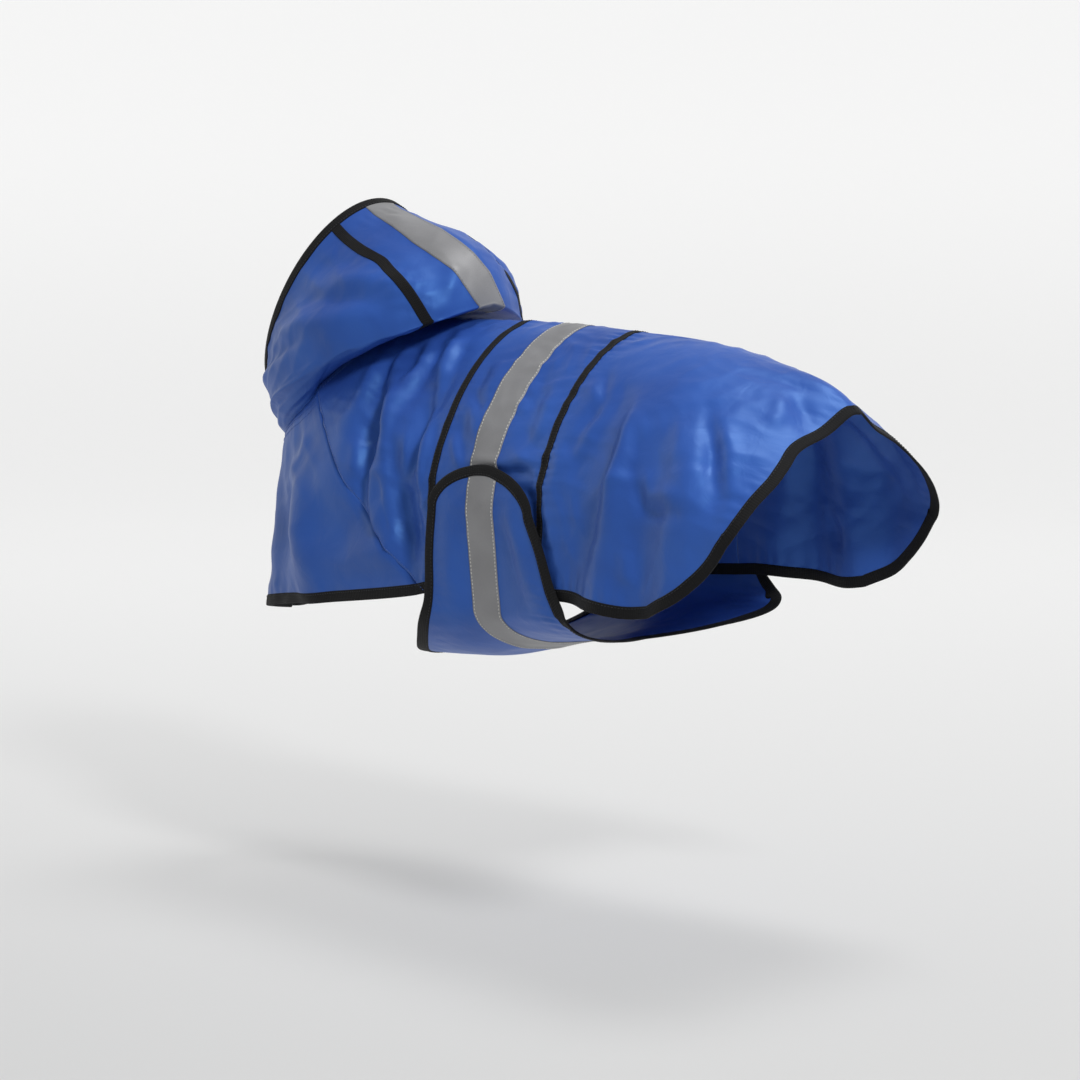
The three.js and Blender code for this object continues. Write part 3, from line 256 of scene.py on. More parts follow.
# Creases of the hood: places (turn in degrees from the middle of its back, v from neck seam to opening)
HOOD_CREASES = [
    (12, 2.6, False, [(-30, 0.46), (-52, 0.6), (-62, 0.82)]),
    (11, -2.8, False, [(-44, 0.5), (-66, 0.62), (-78, 0.86)]),
    (14, 3.0, False, [(-52, 0.44), (-84, 0.56), (-98, 0.8)]),
    (12, -2.6, False, [(-84, 0.48), (-108, 0.62), (-118, 0.88)]),
    (10, 2.0, False, [(-118, 0.5), (-128, 0.72), (-132, 0.94)]),
    (7, -1.8, True, [(-41, 0.72), (-54, 0.86), (-56, 0.96)]),
    (6, 1.5, True, [(-60, 0.7), (-80, 0.72)]),
    (7, -2.2, True, [(-28, 0.56), (-22, 0.68), (-24, 0.8)]),
    (7, 1.8, False, [(-26, 0.44), (-18, 0.52), (-12, 0.48)]),
    (10, 1.5, False, [(-16, 0.78), (-8, 0.9)]),
    (9, -2.4, False, [(18, 0.46), (24, 0.62), (20, 0.86)]),
    (8, 1.8, False, [(30, 0.5), (27, 0.72), (30, 0.94)]),
    (12, 2.6, False, [(44, 0.46), (62, 0.64), (70, 0.88)]),
    (12, -2.8, False, [(58, 0.44), (80, 0.6), (88, 0.84)]),
    (12, 2.4, False, [(92, 0.5), (110, 0.68), (116, 0.9)]),
    (10, -2.0, False, [(122, 0.48), (130, 0.7), (134, 0.92)]),
    (6, -1.8, True, [(-96, 0.18), (-128, 0.22), (-156, 0.3)]),
    (6, 1.5, False, [(-90, 0.28), (-124, 0.31), (-158, 0.4)]),
    (6, -1.8, True, [(96, 0.2), (130, 0.24), (158, 0.32)]),
]
# Creases of the strap: places (q, w across from the front edge at -1 to the rear edge at 1)
STRAP_CREASES = [
    (9, 2.2, False, [(-2.0, 0.62), (-1.4, 0.7), (-1.0, 0.78)]),
    (8, -1.8, False, [(-1.9, 0.46), (-1.2, 0.52), (-0.8, 0.5)]),
    (10, 1.8, False, [(-1.9, -0.6), (-1.3, -0.64), (-0.8, -0.55)]),
    (7, -1.6, True, [(-1.0, 0.95), (-0.82, 0.7), (-0.7, 0.45)]),
    (14, 2.2, False, [(-0.66, -0.6), (-0.3, -0.5), (0.1, -0.56)]),
    (14, -2.0, False, [(-0.5, 0.5), (0.0, 0.6), (0.5, 0.5)]),
    (9, 2.0, False, [(2.0, 0.6), (1.4, 0.7), (0.9, 0.72)]),
    (10, -1.8, False, [(1.9, -0.55), (1.2, -0.6), (0.7, -0.5)]),
]
# Small folds: direction in radians, distance from one to the next and depth in millimetres
CRUMPLES = [(0.35, 27, 0.75), (1.25, 36, 0.9), (2.3, 21, 0.55)]
# All placed creases are this much deeper than their tables say, and those in front of the waist more so
CREASE_GAIN = 1.8
CREASE_FADE = 0.35
SHOULDER_GAIN = 0.32
# Gathers beside rows of stitches: depth, reach and spacing in millimetres, and a phase of their own
GATHERS = {
    "waist_front": (1.3, 8, 11, 1),
    "waist_rear": (1.4, 9, 12, 2),
    "reflective": (0.9, 6, 12, 3),
    "rear_hem": (0.5, 9, 15, 4),
    "side_hem": (0.7, 12, 13, 5),
    "shoulder_seam": (0.3, 8, 10, 6),
    "front_seam": (0.3, 8, 10, 7),
    "front_hem": (0.7, 11, 12, 8),
    "front_neck": (0.5, 10, 11, 9),
    "hood_seam": (1.3, 7, 11, 10),
    "hood_edge": (0.6, 9, 11, 11),
    "strap_edge": (0.8, 8, 11, 12),
    "strap_tape": (0.35, 7, 14, 13),
}
# Millimetres for one unit of a part's two places
CHEST_SCALE = (1.9, 150)
HOOD_SCALE = (1.7, 210)
STRAP_SCALE = (100, 60)


def smooth(t):
    t = np.clip(t, 0, 1)
    return t * t * (3 - 2 * t)


def mix(start, end, t):
    return start + (end - start) * t


def column(keys, values):
    """Smooth value of a table's column at a place along its key, held flat past its ends."""
    order = np.argsort(keys)
    k = np.array(keys, float)[order]
    v = np.array(values, float)[order]
    before = np.maximum(np.arange(len(k)) - 1, 0)
    after = np.minimum(np.arange(len(k)) + 1, len(k) - 1)
    slope = (v[after] - v[before]) / (k[after] - k[before])

    def value(at):
        t = np.clip(at, k[0], k[-1])
        i = np.clip(np.searchsorted(k, t, side="left") - 1, 0, len(k) - 2)
        span = k[i + 1] - k[i]
        u = (t - k[i]) / span
        part = smooth(u)
        bend_in = u * (1 - u) ** 2 * span
        bend_out = u * u * (u - 1) * span
        return v[i] * (1 - part) + v[i + 1] * part + slope[i] * bend_in + slope[i + 1] * bend_out

    return value


def vectors(x, y, z):
    return np.stack(np.broadcast_arrays(x, y, z), axis=-1).astype(float)


def unit(v):
    return v / np.maximum(np.linalg.norm(v, axis=-1, keepdims=True), 1e-9)


station = {name: column(STATIONS["x"], STATIONS[name]) for name in STATIONS if name != "x"}
side_hem_z = column(SIDE_HEM["x"], SIDE_HEM["z"])
shoulder_seam_z = column(SHOULDER_SEAM["x"], SHOULDER_SEAM["z"])


def trunk_base(x, girth):
    """The trunk without folds: girth is 0 on the back, 1 at the widest line, its sign gives the side."""
    m = np.abs(girth)
    turn = np.minimum(m, 1) * math.pi / 2
    power = 2 / station["round"](x)
    below = np.maximum(0, m - 1)
    y = station["half"](x) * np.sin(turn) ** power + station["flare"](x) * below
    cosine = np.maximum(np.cos(turn), 0) ** power
    z = station["ridge"](x) - station["drop"](x) * (1 - cosine) - LOWER_UNIT * below
    tent = smooth((x - TAIL_TENT["start"]) / (TAIL_TENT["end"] - TAIL_TENT["start"]))
    lift = TAIL_TENT["height"] * tent * np.exp(-((y / TAIL_TENT["half_width"]) ** 2))
    return vectors(x, np.sign(girth) * y, z + lift)


def girth_at(x, z):
    """The girth coordinate of a height on the trunk."""
    x, z = np.broadcast_arrays(np.asarray(x, float), np.asarray(z, float))
    low = np.zeros_like(x)
    high = np.full_like(x, 4.0)
    for _ in range(30):
        middle = (low + high) / 2
        above = trunk_base(x, middle)[..., 2] > z
        low = np.where(above, middle, low)
        high = np.where(above, high, middle)
    return (low + high) / 2


HEM_STEPS = np.arange(-140.0, 620.0, 1.0)
HEM_GIRTHS = girth_at(HEM_STEPS, side_hem_z(HEM_STEPS))


def hem_girth(x):
    return np.interp(x, HEM_STEPS, HEM_GIRTHS)


def fold_depth(p):
    """How far the folds of the solids push a point out along its normal."""
    depth = np.zeros(p.shape[:-1])
    for x1, z1, x2, z2, width, deep in zip(*FOLDS.values()):
        dx, dz = x2 - x1, z2 - z1
        along = ((p[..., 0] - x1) * dx + (p[..., 2] - z1) * dz) / (dx * dx + dz * dz)
        across = ((p[..., 0] - x1) * dz - (p[..., 2] - z1) * dx) / math.hypot(dx, dz)
        ends = smooth((along + 0.15) / 0.45) * smooth((1.35 - along) / 0.35)
        depth += FOLD_SHARE * deep * ends * np.exp(-((across / width) ** 2))
    return depth * smooth((np.abs(p[..., 1]) - 35) / 50)


class Surface:
    """A cloth surface: place(a, b) gives points, and detail gives the depth of its creases and puckers."""

    def __init__(self, place, da, db, facing, low=-np.inf, high=np.inf, detail=None):
        self.place, self.da, self.db, self.facing = place, da, db, facing
        self.low, self.high, self.detail = low, high, detail

    def normal(self, a, b):
        at = np.clip(a, self.low, self.high)
        u = self.place(at + self.da, b) - self.place(at - self.da, b)
        v = self.place(at, b + self.db) - self.place(at, b - self.db)
        return unit(np.cross(u, v)) * self.facing

    def at(self, a, b, lift=0.0):
        a, b = np.broadcast_arrays(np.asarray(a, float), np.asarray(b, float))
        p = self.place(a, b)
        depth = self.detail(a, b, p) if self.detail else 0.0
        return p + self.normal(a, b) * np.asarray(depth + lift)[..., None]


def trunk_flat_place(x, b):
    return trunk_base(x, b * hem_girth(x))


trunk_flat = Surface(trunk_flat_place, 1, 0.01, 1)


def trunk_place(x, b):
    base = trunk_flat_place(x, b)
    return base + trunk_flat.normal(x, b) * fold_depth(base)[..., None]


# Where the panels of the trunk start and end along the back, for a place b round the girth
seam_x = np.linspace(SHOULDER_SEAM["x"][0], SHOULDER_SEAM["x"][-1], 25)
seam_b = girth_at(seam_x, shoulder_seam_z(seam_x)) / hem_girth(seam_x)
NECK_CORNER = float(seam_b[0])
shoulder_seam_x = column(seam_b, seam_x)
shoulder_seam_b = column(seam_x, seam_b)
rear_x = np.array(REAR_HEM["x"], float)
rear_b = girth_at(rear_x, np.array(REAR_HEM["z"], float)) / hem_girth(rear_x)
rear_b[0] = 1
rear_b[-1] = 0
rear_hem_x_at = column(rear_b, rear_x)


def neck_back_x(b):
    return mix(NECK_TOP_X, SHOULDER_SEAM["x"][0], (np.abs(b) / NECK_CORNER) ** 2)


def front_x(b):
    return np.where(np.abs(b) < NECK_CORNER, neck_back_x(b), shoulder_seam_x(np.abs(b)))


def waist_front_x(b):
    return mix(WAIST_FRONT["ridge"], WAIST_FRONT["hem"], b * b)


def waist_rear_x(b):
    return mix(WAIST_REAR["ridge"], WAIST_REAR["hem"], b * b)


def rear_hem_x(b):
    return rear_hem_x_at(np.abs(b))


def crease_depth(u, w, creases):
    """Depth of a list of creases at places (u, w) in millimetres."""
    depth = np.zeros(np.shape(u))
    for width, deep, sharp, places in creases:
        line = np.array(places, float)
        spans = np.linalg.norm(np.diff(line, axis=0), axis=1)
        whole = spans.sum()
        nearest = np.full(np.shape(u), 1e9)
        place = np.zeros(np.shape(u))
        passed = 0.0
        for (u1, w1), (u2, w2), span in zip(line[:-1], line[1:], spans):
            t = ((u - u1) * (u2 - u1) + (w - w1) * (w2 - w1)) / span**2
            inside = np.clip(t, 0, 1)
            distance = np.hypot(u - mix(u1, u2, inside), w - mix(w1, w2, inside))
            closer = distance < nearest
            nearest = np.where(closer, distance, nearest)
            place = np.where(closer, (passed + inside * span) / whole, place)
            passed += span
        across = nearest / width
        profile = np.exp(-across) * (1 + across) if sharp else np.exp(-across * across)
        ends = 0.25 + 0.75 * smooth(place / CREASE_FADE) * smooth((1 - place) / CREASE_FADE)
        depth += deep * ends * profile
    return depth * CREASE_GAIN


def scaled(creases, scale):
    """Creases with their places turned into millimetres."""
    return [(width, deep, sharp, np.array(line) * scale) for width, deep, sharp, line in creases]


def pucker(gap, along, deep, reach, step, phase):
    """Small gathers that a row of stitches draws up beside it: gap and along are distances in millimetres."""
    wander = 1.6 * np.sin(along / 23.0 + phase) + 1.1 * np.sin(along / 9.7 + 2 * phase)
    size = 0.55 + 0.45 * np.sin(along / 31.0 + 3 * phase)
    wave = np.sin(2 * math.pi * along / step + wander)
    return deep * size * wave * smooth(gap / 2.0) * np.exp(-np.maximum(gap, 0) / reach)


def crumple(u, w, phase=0.0):
    """Small folds in every direction that light cloth keeps from being packed, stronger in some patches."""
    depth = np.zeros(np.shape(u))
    for direction, wave, deep in CRUMPLES:
        along = u * math.cos(direction) + w * math.sin(direction)
        across = w * math.cos(direction) - u * math.sin(direction)
        wander = 1.9 * np.sin(across / 34 + phase + direction) + 0.8 * np.sin(across / 15 + 2 * phase)
        ridge = 0.6 - 1.4 * np.abs(np.sin(math.pi * along / wave + wander))
        patch = np.sin(u / 33 + 1.4 * np.sin(w / 27 + phase) + direction) * np.sin(w / 39 + phase - direction)
        depth += deep * ridge * smooth(0.35 + 0.9 * patch)
    return depth


def side_place(p):
    """Places of trunk creases: x along the back, and w down the side from the ridge."""
    return p[..., 0], np.abs(p[..., 1]) - p[..., 2]


def trunk_creases(p):
    u, w = side_place(p)
    left = smooth((8 - p[..., 1]) / 16)
    away = smooth((w - 22) / 30)
    depth = away * (left * crease_depth(u, w, LEFT_CREASES) + (1 - left) * crease_depth(u, w, RIGHT_CREASES))
    # The folds in front of the waist panel are the deepest
    depth *= 1 + SHOULDER_GAIN * smooth((150 - u) / 20)
    # Under the strap the cloth is held flat
    covered = smooth((u - 134) / 10) * smooth((348 - u) / 10) * smooth((-118 - p[..., 2]) / 12)
    return depth - covered * np.maximum(depth - STRAP_ROOM, 0)


def trunk_detail(x, b, p):
    u, w = side_place(p)
    half = SEAM_TAPE / 2
    hem_gap = np.minimum(rear_hem_x(b) - x, p[..., 2] - side_hem_z(x) + 4)
    calm = 1 - 0.4 * smooth((x - 320) / 60)
    depth = (trunk_creases(p) + calm * crumple(u, w, np.sign(b))) * (0.3 + 0.7 * smooth(hem_gap / 50))
    front_gap = x - waist_front_x(b)
    rear_gap = x - waist_rear_x(b)
    depth += pucker(np.abs(front_gap) - half, w, *GATHERS["waist_front"])
    depth += pucker(np.abs(rear_gap) - half, w, *GATHERS["waist_rear"])
    depth += pucker(np.abs(x - REFLECTIVE_X) - REFLECTIVE / 2, w, *GATHERS["reflective"])
    depth += pucker(rear_hem_x(b) - x - HEM_BINDING, w, *GATHERS["rear_hem"])
    depth += pucker(p[..., 2] - side_hem_z(x) - HEM_BINDING, x, *GATHERS["side_hem"])
    beside_seam = np.where(np.abs(b) < NECK_CORNER, 60.0, x - shoulder_seam_x(np.abs(b)))
    depth += pucker(beside_seam - 2, w, *GATHERS["shoulder_seam"])
    depth -= 0.9 * np.exp(-((beside_seam / 1.8) ** 2))
    held = np.exp(-((front_gap / half) ** 4)) + np.exp(-((rear_gap / half) ** 4))
    return depth * (1 - 0.35 * held)


trunk = Surface(trunk_place, 1, 0.01, 1, detail=trunk_detail)
chest_column = {name: column(CHEST["level"], CHEST[name]) for name in ("x", "z", "square")}


def seam_points(level, side):
    x = mix(SHOULDER_SEAM["x"][0], SHOULDER_SEAM["x"][-1], level)
    b = side * shoulder_seam_b(x)
    return trunk_flat_place(x, b), trunk_place(x, b)


def chest_flat_place(level, turn):
    side = np.where(turn > 90, 1.0, -1.0)
    start = seam_points(level, side)[0]
    turned = np.radians(np.where(turn > 90, 180 - turn, turn))
    power = 2 / chest_column["square"](level)
    x = mix(start[..., 0], chest_column["x"](level), np.maximum(0, np.sin(turned)) ** power)
    y = start[..., 1] * np.maximum(0, np.cos(turned)) ** power
    z = mix(start[..., 2], chest_column["z"](level), np.maximum(0, 2 * turned / math.pi) ** CHEST_DIP)
    return vectors(x, y, z)


chest_flat = Surface(chest_flat_place, 0.01, 2, -1, 0.01, 0.99)


def chest_place(level, turn):
    base = chest_flat_place(level, turn)
    flat, folded = seam_points(level, np.where(turn > 90, 1.0, -1.0))
    n = chest_flat.normal(level, np.clip(turn, 4, 176))
    offset = n * fold_depth(base)[..., None]
    part = smooth(np.minimum(turn, 180 - turn) / 25)[..., None]
    return base + mix(folded - flat, offset, part)


def chest_detail(level, turn, p):
    u = turn * CHEST_SCALE[0]
    w = level * CHEST_SCALE[1]
    edge = np.minimum(turn, 180 - turn)
    depth = crease_depth(u, w, scaled(CHEST_CREASES, CHEST_SCALE)) * smooth(edge / 9)
    depth += trunk_creases(p) * (1 - smooth(edge / 14))
    depth += crumple(u, w, 2.0) * smooth(edge / 10)
    beside_seam = edge * CHEST_SCALE[0] * 0.8
    depth -= 0.9 * np.exp(-((beside_seam / 1.8) ** 2))
    depth += pucker(beside_seam - 2, w, *GATHERS["front_seam"])
    depth += pucker((1 - level) * FRONT_LENGTH - HEM_BINDING, u, *GATHERS["front_hem"])
    depth += pucker(level * FRONT_LENGTH - 3, u, *GATHERS["front_neck"])
    return depth


chest = Surface(chest_place, 0.01, 1, -1, 0.01, 0.99, chest_detail)


def lapped_place(level, turn):
    span = LAP_RAMP["start"] - LAP_RAMP["end"]
    lift = LAP_LIFT * smooth((LAP_RAMP["start"] - turn) / span)
    return chest_place(level, turn) + chest.normal(level, turn) * lift[..., None]


lapped = Surface(lapped_place, 0.01, 1, -1, 0.01, 0.99, chest_detail)

# The neck seam by degrees from the back of the neck, which the hood's lower edge follows
NECK_TURNS = np.linspace(0, mix(CORNER_TURN, 180, LEFT_END_TURN / 90), 240)
on_back = NECK_TURNS <= CORNER_TURN
back_b = NECK_CORNER * np.sin(np.minimum(NECK_TURNS / CORNER_TURN, 1) * math.pi / 2)
chest_turn = np.clip((NECK_TURNS - CORNER_TURN) / (180 - CORNER_TURN) * 90, 0, 90)
neck_level = np.zeros_like(chest_turn)
LEFT_NECK = np.where(
    on_back[:, None], trunk.at(neck_back_x(back_b), -back_b), chest.at(neck_level, chest_turn)
)
RIGHT_NECK = np.where(
    on_back[:, None], trunk.at(neck_back_x(back_b), back_b), chest.at(neck_level, 180 - chest_turn)
)


def neck_seam(turn):
    t = np.abs(turn)
    left = vectors(*(np.interp(t, NECK_TURNS, line) for line in LEFT_NECK.T))
    right = vectors(*(np.interp(t, NECK_TURNS, line) for line in RIGHT_NECK.T))
    return np.where((turn > 0)[..., None], right, left)


def seam_allowance(turn):
    """The hood's raw edge, tucked inside the neck seam."""
    p = neck_seam(turn)
    inward = unit(LEFT_NECK.mean(axis=0) * np.array([1, 0, 1]) - p)
    return p + inward * 1.6 - NECK_UP * 4


def oval(shape, turn):
    c = np.cos(np.radians(turn))
    x, z = (mix(shape["start"][k], shape["end"][k], (1 - c) / 2) for k in (0, 1))
    return vectors(x, shape["half"] * np.sin(np.radians(turn)), z)


def hood_fold(turn):
    p = oval(HOOD_FOLD, turn)
    t = np.abs(turn)
    p[..., 2] -= np.where(t < 90, HOOD_FOLD["droop"] * np.sin(np.radians(2 * t)), 0)
    closing = smooth((t - HOOD_CLOSING) / (HOOD_CORNER - HOOD_CLOSING))[..., None]
    return mix(p, neck_seam(turn) + HOOD_CORNER_FOLD, closing)


def hood_edge(turn):
    t = np.abs(turn)
    twist = HOOD_TWIST * smooth((HOOD_CLOSING - t) / 60)
    closing = smooth((t - HOOD_CLOSING) / (HOOD_CORNER - HOOD_CLOSING))[..., None]
    return mix(oval(HOOD_EDGE, turn - twist), neck_seam(turn) + HOOD_CORNER_EDGE, closing)


def bezier(points, t):
    a, b, c, d = points
    t = t[..., None]
    return (1 - t) ** 3 * a + 3 * (1 - t) ** 2 * t * b + 3 * (1 - t) * t**2 * c + t**3 * d


def length_of(v):
    return np.linalg.norm(v, axis=-1, keepdims=True)


def hood_place(v, turn):
    v, turn = np.broadcast_arrays(np.asarray(v, float), np.asarray(turn, float))
    seam = neck_seam(turn) + NECK_UP * HOOD_STAND
    fold = hood_fold(turn)
    edge = hood_edge(turn)
    rise = length_of(fold - edge)
    reach = length_of(fold - seam)
    out = (fold - seam) * 0.35
    flat_out = out * np.array([1.0, 1.0, 0.0])
    bulge = unit(flat_out) * reach * NECK_BULGE * smooth((np.abs(turn) - 60) / 60)[..., None]
    start = seam + out + bulge + NECK_UP * reach * 0.04
    under = fold - NECK_UP * np.minimum(FOLD_DEPTH, reach * 0.35)
    below = bezier((seam, start, under, fold), v / FOLD_AT)
    swell = unit(fold - seam) * rise * HOOD_SWELL
    over = fold + swell + NECK_UP * rise * HOOD_FULLNESS
    back = (fold - edge) * 0.4 + NECK_UP * rise * HOOD_CROWN
    above = bezier((fold, over, edge + back, edge), (v - FOLD_AT) / (1 - FOLD_AT))
    return np.where((v <= FOLD_AT)[..., None], below, above)


def hood_lean(v, turn):
    """Degrees by which a seam or tape of the hood is drawn aside from its fold to its opening."""
    amount = np.interp(turn, HOOD_LEAN["turn"], HOOD_LEAN["lean"])
    above = np.clip((v - FOLD_AT) / (1 - FOLD_AT), 0, 1)
    kink = HOOD_KINK["turn"] * np.exp(-(((v - HOOD_KINK["at"]) / HOOD_KINK["reach"]) ** 2)) * -np.sign(turn)
    return kink - amount * np.sin(math.pi * above**0.75)


def hood_detail(v, turn, p):
    u = turn * HOOD_SCALE[0]
    w = v * HOOD_SCALE[1]
    ends = smooth((1 - v) / 0.08) * smooth(v / 0.06) * smooth((HOOD_CORNER - np.abs(turn)) / 14)
    depth = (crease_depth(u, w, scaled(HOOD_CREASES, HOOD_SCALE)) + 1.1 * crumple(u, w, 4.0)) * ends
    seam = np.where(turn < 0, -HOOD_PANEL + hood_lean(v, -HOOD_PANEL), HOOD_PANEL + hood_lean(v, HOOD_PANEL))
    beside_tape = np.abs(turn - seam) * HOOD_SCALE[0] - HOOD_TAPE / 2
    drawn = smooth((v - 0.3) / 0.1)
    depth += pucker(beside_tape, w, *GATHERS["hood_seam"]) * drawn
    depth += pucker((1 - v) * 170 - HEM_BINDING, u, *GATHERS["hood_edge"]) * ends
    wave = np.sin(w / 11.0 + 1.3 * np.sin(w / 27.0) + np.sign(turn))
    depth += 0.8 * wave * np.exp(-((beside_tape / 9) ** 2)) * drawn * smooth((1 - v) / 0.1)
    return depth


hood = Surface(hood_place, 0.004, 0.5, -1, detail=hood_detail)
belly_z = column(BELLY["x"], BELLY["z"])
strap_front = column(STRAP_FRONT["q"], STRAP_FRONT["x"])
strap_rear = column(STRAP_REAR["q"], STRAP_REAR["x"])
trunk_folded = Surface(trunk_place, 1, 0.01, 1)


def strap_x(q, w):
    front, rear = strap_front(np.abs(q)), strap_rear(np.abs(q))
    low, high = STRAP_TAPE_X - REFLECTIVE / 2, STRAP_TAPE_X + REFLECTIVE / 2
    before = mix(front, low, (w + 1) / (1 - TAPE_AT))
    after = mix(high, rear, (w - TAPE_AT) / (1 - TAPE_AT))
    middle = mix(low, high, (w + TAPE_AT) / (2 * TAPE_AT))
    return np.where(w < -TAPE_AT, before, np.where(w > TAPE_AT, after, middle))


def beside_trunk(x, z, side):
    b = side * girth_at(x, z) / hem_girth(x)
    return trunk_place(x, b) + trunk_folded.normal(x, b) * STRAP_LIFT


def strap_place(q, w):
    q, w = np.broadcast_arrays(np.asarray(q, float), np.asarray(w, float))
    side = np.where(q < 0, -1.0, 1.0)
    up = np.abs(q)
    x = strap_x(q, w)
    upper = beside_trunk(x, STRAP_SIDE_Z + LOWER_UNIT * (up - 1), side)
    top = beside_trunk(x, np.full_like(x, STRAP_SIDE_Z), side)
    turn = np.minimum(up, 1) * math.pi / 2
    power = 2 / STRAP_SQUARE
    z = mix(top[..., 2], belly_z(x), np.maximum(np.cos(turn), 0) ** power)
    lower = vectors(mix(x, top[..., 0], up), top[..., 1] * np.sin(turn) ** power, z)
    return np.where((up >= 1)[..., None], upper, lower)


def strap_detail(q, w, p):
    u = q * STRAP_SCALE[0]
    across = w * STRAP_SCALE[1]
    inside = smooth((1 - np.abs(w)) / 0.12) * smooth((STRAP_TOP_Q - 0.1 - np.abs(q)) / 0.15)
    placed = crease_depth(u, across, scaled(STRAP_CREASES, STRAP_SCALE))
    depth = (placed + 0.5 * crumple(u, across, 5.0)) * inside
    beside = smooth((np.abs(q) - 0.6) / 0.3)
    depth -= beside * np.minimum(depth + STRAP_ROOM, 0)
    gap = (1 - np.abs(w)) * 75 - HEM_BINDING
    depth += pucker(gap, u, *GATHERS["strap_edge"])
    depth += pucker((np.abs(w) - TAPE_AT) * 85, u, *GATHERS["strap_tape"])
    return depth


strap = Surface(strap_place, 0.01, 0.02, 1, detail=strap_detail)


def strap_end_q(w):
    """How far up the strap's rounded end reaches, for a place w across it."""
    front_full, front_round = STRAP_END["front"]
    rear_full, rear_round = STRAP_END["rear"]
    full = np.where(w > 0, rear_full, front_full)
    bent = np.where(w > 0, rear_round, front_round)
    return mix(STRAP_END_Q, STRAP_TOP_Q, np.maximum(0, 1 - np.abs(w) ** full) ** bent)


# Materials

# The gleam of blue threads under a thin clear coat is itself blue
GLEAM_TINT = (0.24, 0.55, 1.0, 1.0)


def linear(code, alpha=1.0):
    """An sRGB hex colour as linear values."""
    parts = [((code >> shift) & 255) / 255 for shift in (16, 8, 0)]
    return [c / 12.92 if c <= 0.04045 else ((c + 0.055) / 1.055) ** 2.4 for c in parts] + [alpha]


def node(tree, kind, settings=None, inputs=None, links=None):
    """Adds a node with its settings, input values and links."""
    made = tree.nodes.new(kind)
    for name, value in (settings or {}).items():
        setattr(made, name, value)
    for name, value in (inputs or {}).items():
        made.inputs[name].default_value = value
    for name, socket in (links or {}).items():
        tree.links.new(socket, made.inputs[name])
    return made


def new_material(name, **surface):
    material = bpy.data.materials.new(name)
    material.use_nodes = True
    tree = material.node_tree
    shader = tree.nodes["Principled BSDF"]
    for socket, value in surface.items():
        shader.inputs[socket.replace("_", " ")].default_value = value
    return material, tree, shader


def ramp(tree, fac, stops):
    """A colour ramp with the given (position, colour) stops."""
    made = node(tree, "ShaderNodeValToRGB", links={"Fac": fac})
    band = made.color_ramp
    band.elements[0].position, band.elements[0].color = stops[0][0], linear(stops[0][1])
    band.elements[1].position, band.elements[1].color = stops[-1][0], linear(stops[-1][1])
    for position, code in stops[1:-1]:
        band.elements.new(position).color = linear(code)
    return made.outputs["Color"]


def coated_taffeta():
    """Plain-woven nylon taffeta with a clear water-repellent coat: smooth, with a soft satin gleam on each
    crease, and small crumples that packing has left in it."""
    material, tree, shader = new_material(
        "coated_nylon_taffeta_blue", Roughness=0.4, IOR=1.5, Specular_IOR_Level=0.85, Specular_Tint=GLEAM_TINT
    )
    place = node(tree, "ShaderNodeTexCoord").outputs["Object"]
    cloud = node(tree, "ShaderNodeTexNoise", inputs={"Scale": 9.0, "Detail": 3.0}, links={"Vector": place})
    blue = ramp(tree, cloud.outputs["Fac"], [(0.3, 0x2A4A99), (0.5, 0x2E52A4), (0.72, 0x345BAF)])
    tree.links.new(blue, shader.inputs["Base Color"])
    small = {"Scale": 42.0, "Detail": 3.0, "Distortion": 0.8}
    crumpled = node(tree, "ShaderNodeTexNoise", inputs=small, links={"Vector": place})
    sharp = {"Scale": 20.0, "Detail": 3.0, "Lacunarity": 2.3, "Distortion": 1.0}
    ridged = {"noise_type": "RIDGED_MULTIFRACTAL"}
    ridges = node(tree, "ShaderNodeTexNoise", ridged, sharp, {"Vector": place})
    threads = node(tree, "ShaderNodeUVMap", {"uv_map": "cloth"}).outputs["UV"]
    # Threads are about 0.15 mm apart, which is too fine to show: they are drawn 0.9 mm apart
    yarn = {"Scale": 175.0, "Distortion": 0.3}
    warp = node(tree, "ShaderNodeTexWave", {"bands_direction": "X"}, yarn, {"Vector": threads})
    weft = node(tree, "ShaderNodeTexWave", {"bands_direction": "Y"}, yarn, {"Vector": threads})
    crossed = {0: warp.outputs["Fac"], 1: weft.outputs["Fac"]}
    weave = node(tree, "ShaderNodeMath", {"operation": "MULTIPLY"}, links=crossed)
    # Crumples and the sharper ridges between them are 50 and 90 times as high as the weave
    relief = weave.outputs["Value"]
    for texture, high in ((crumpled.outputs["Fac"], 50.0), (ridges.outputs["Fac"], 90.0)):
        stacked = {0: texture, 2: relief}
        added = node(tree, "ShaderNodeMath", {"operation": "MULTIPLY_ADD"}, {1: high}, stacked)
        relief = added.outputs["Value"]
    weave_height = {"Strength": 1.0, "Distance": 0.000015}
    bump = node(tree, "ShaderNodeBump", inputs=weave_height, links={"Height": relief})
    tree.links.new(bump.outputs["Normal"], shader.inputs["Normal"])
    satin = {"To Min": 0.38, "To Max": 0.54}
    gleam = node(tree, "ShaderNodeMapRange", inputs=satin, links={"Value": crumpled.outputs["Fac"]})
    tree.links.new(gleam.outputs["Result"], shader.inputs["Roughness"])
    return material


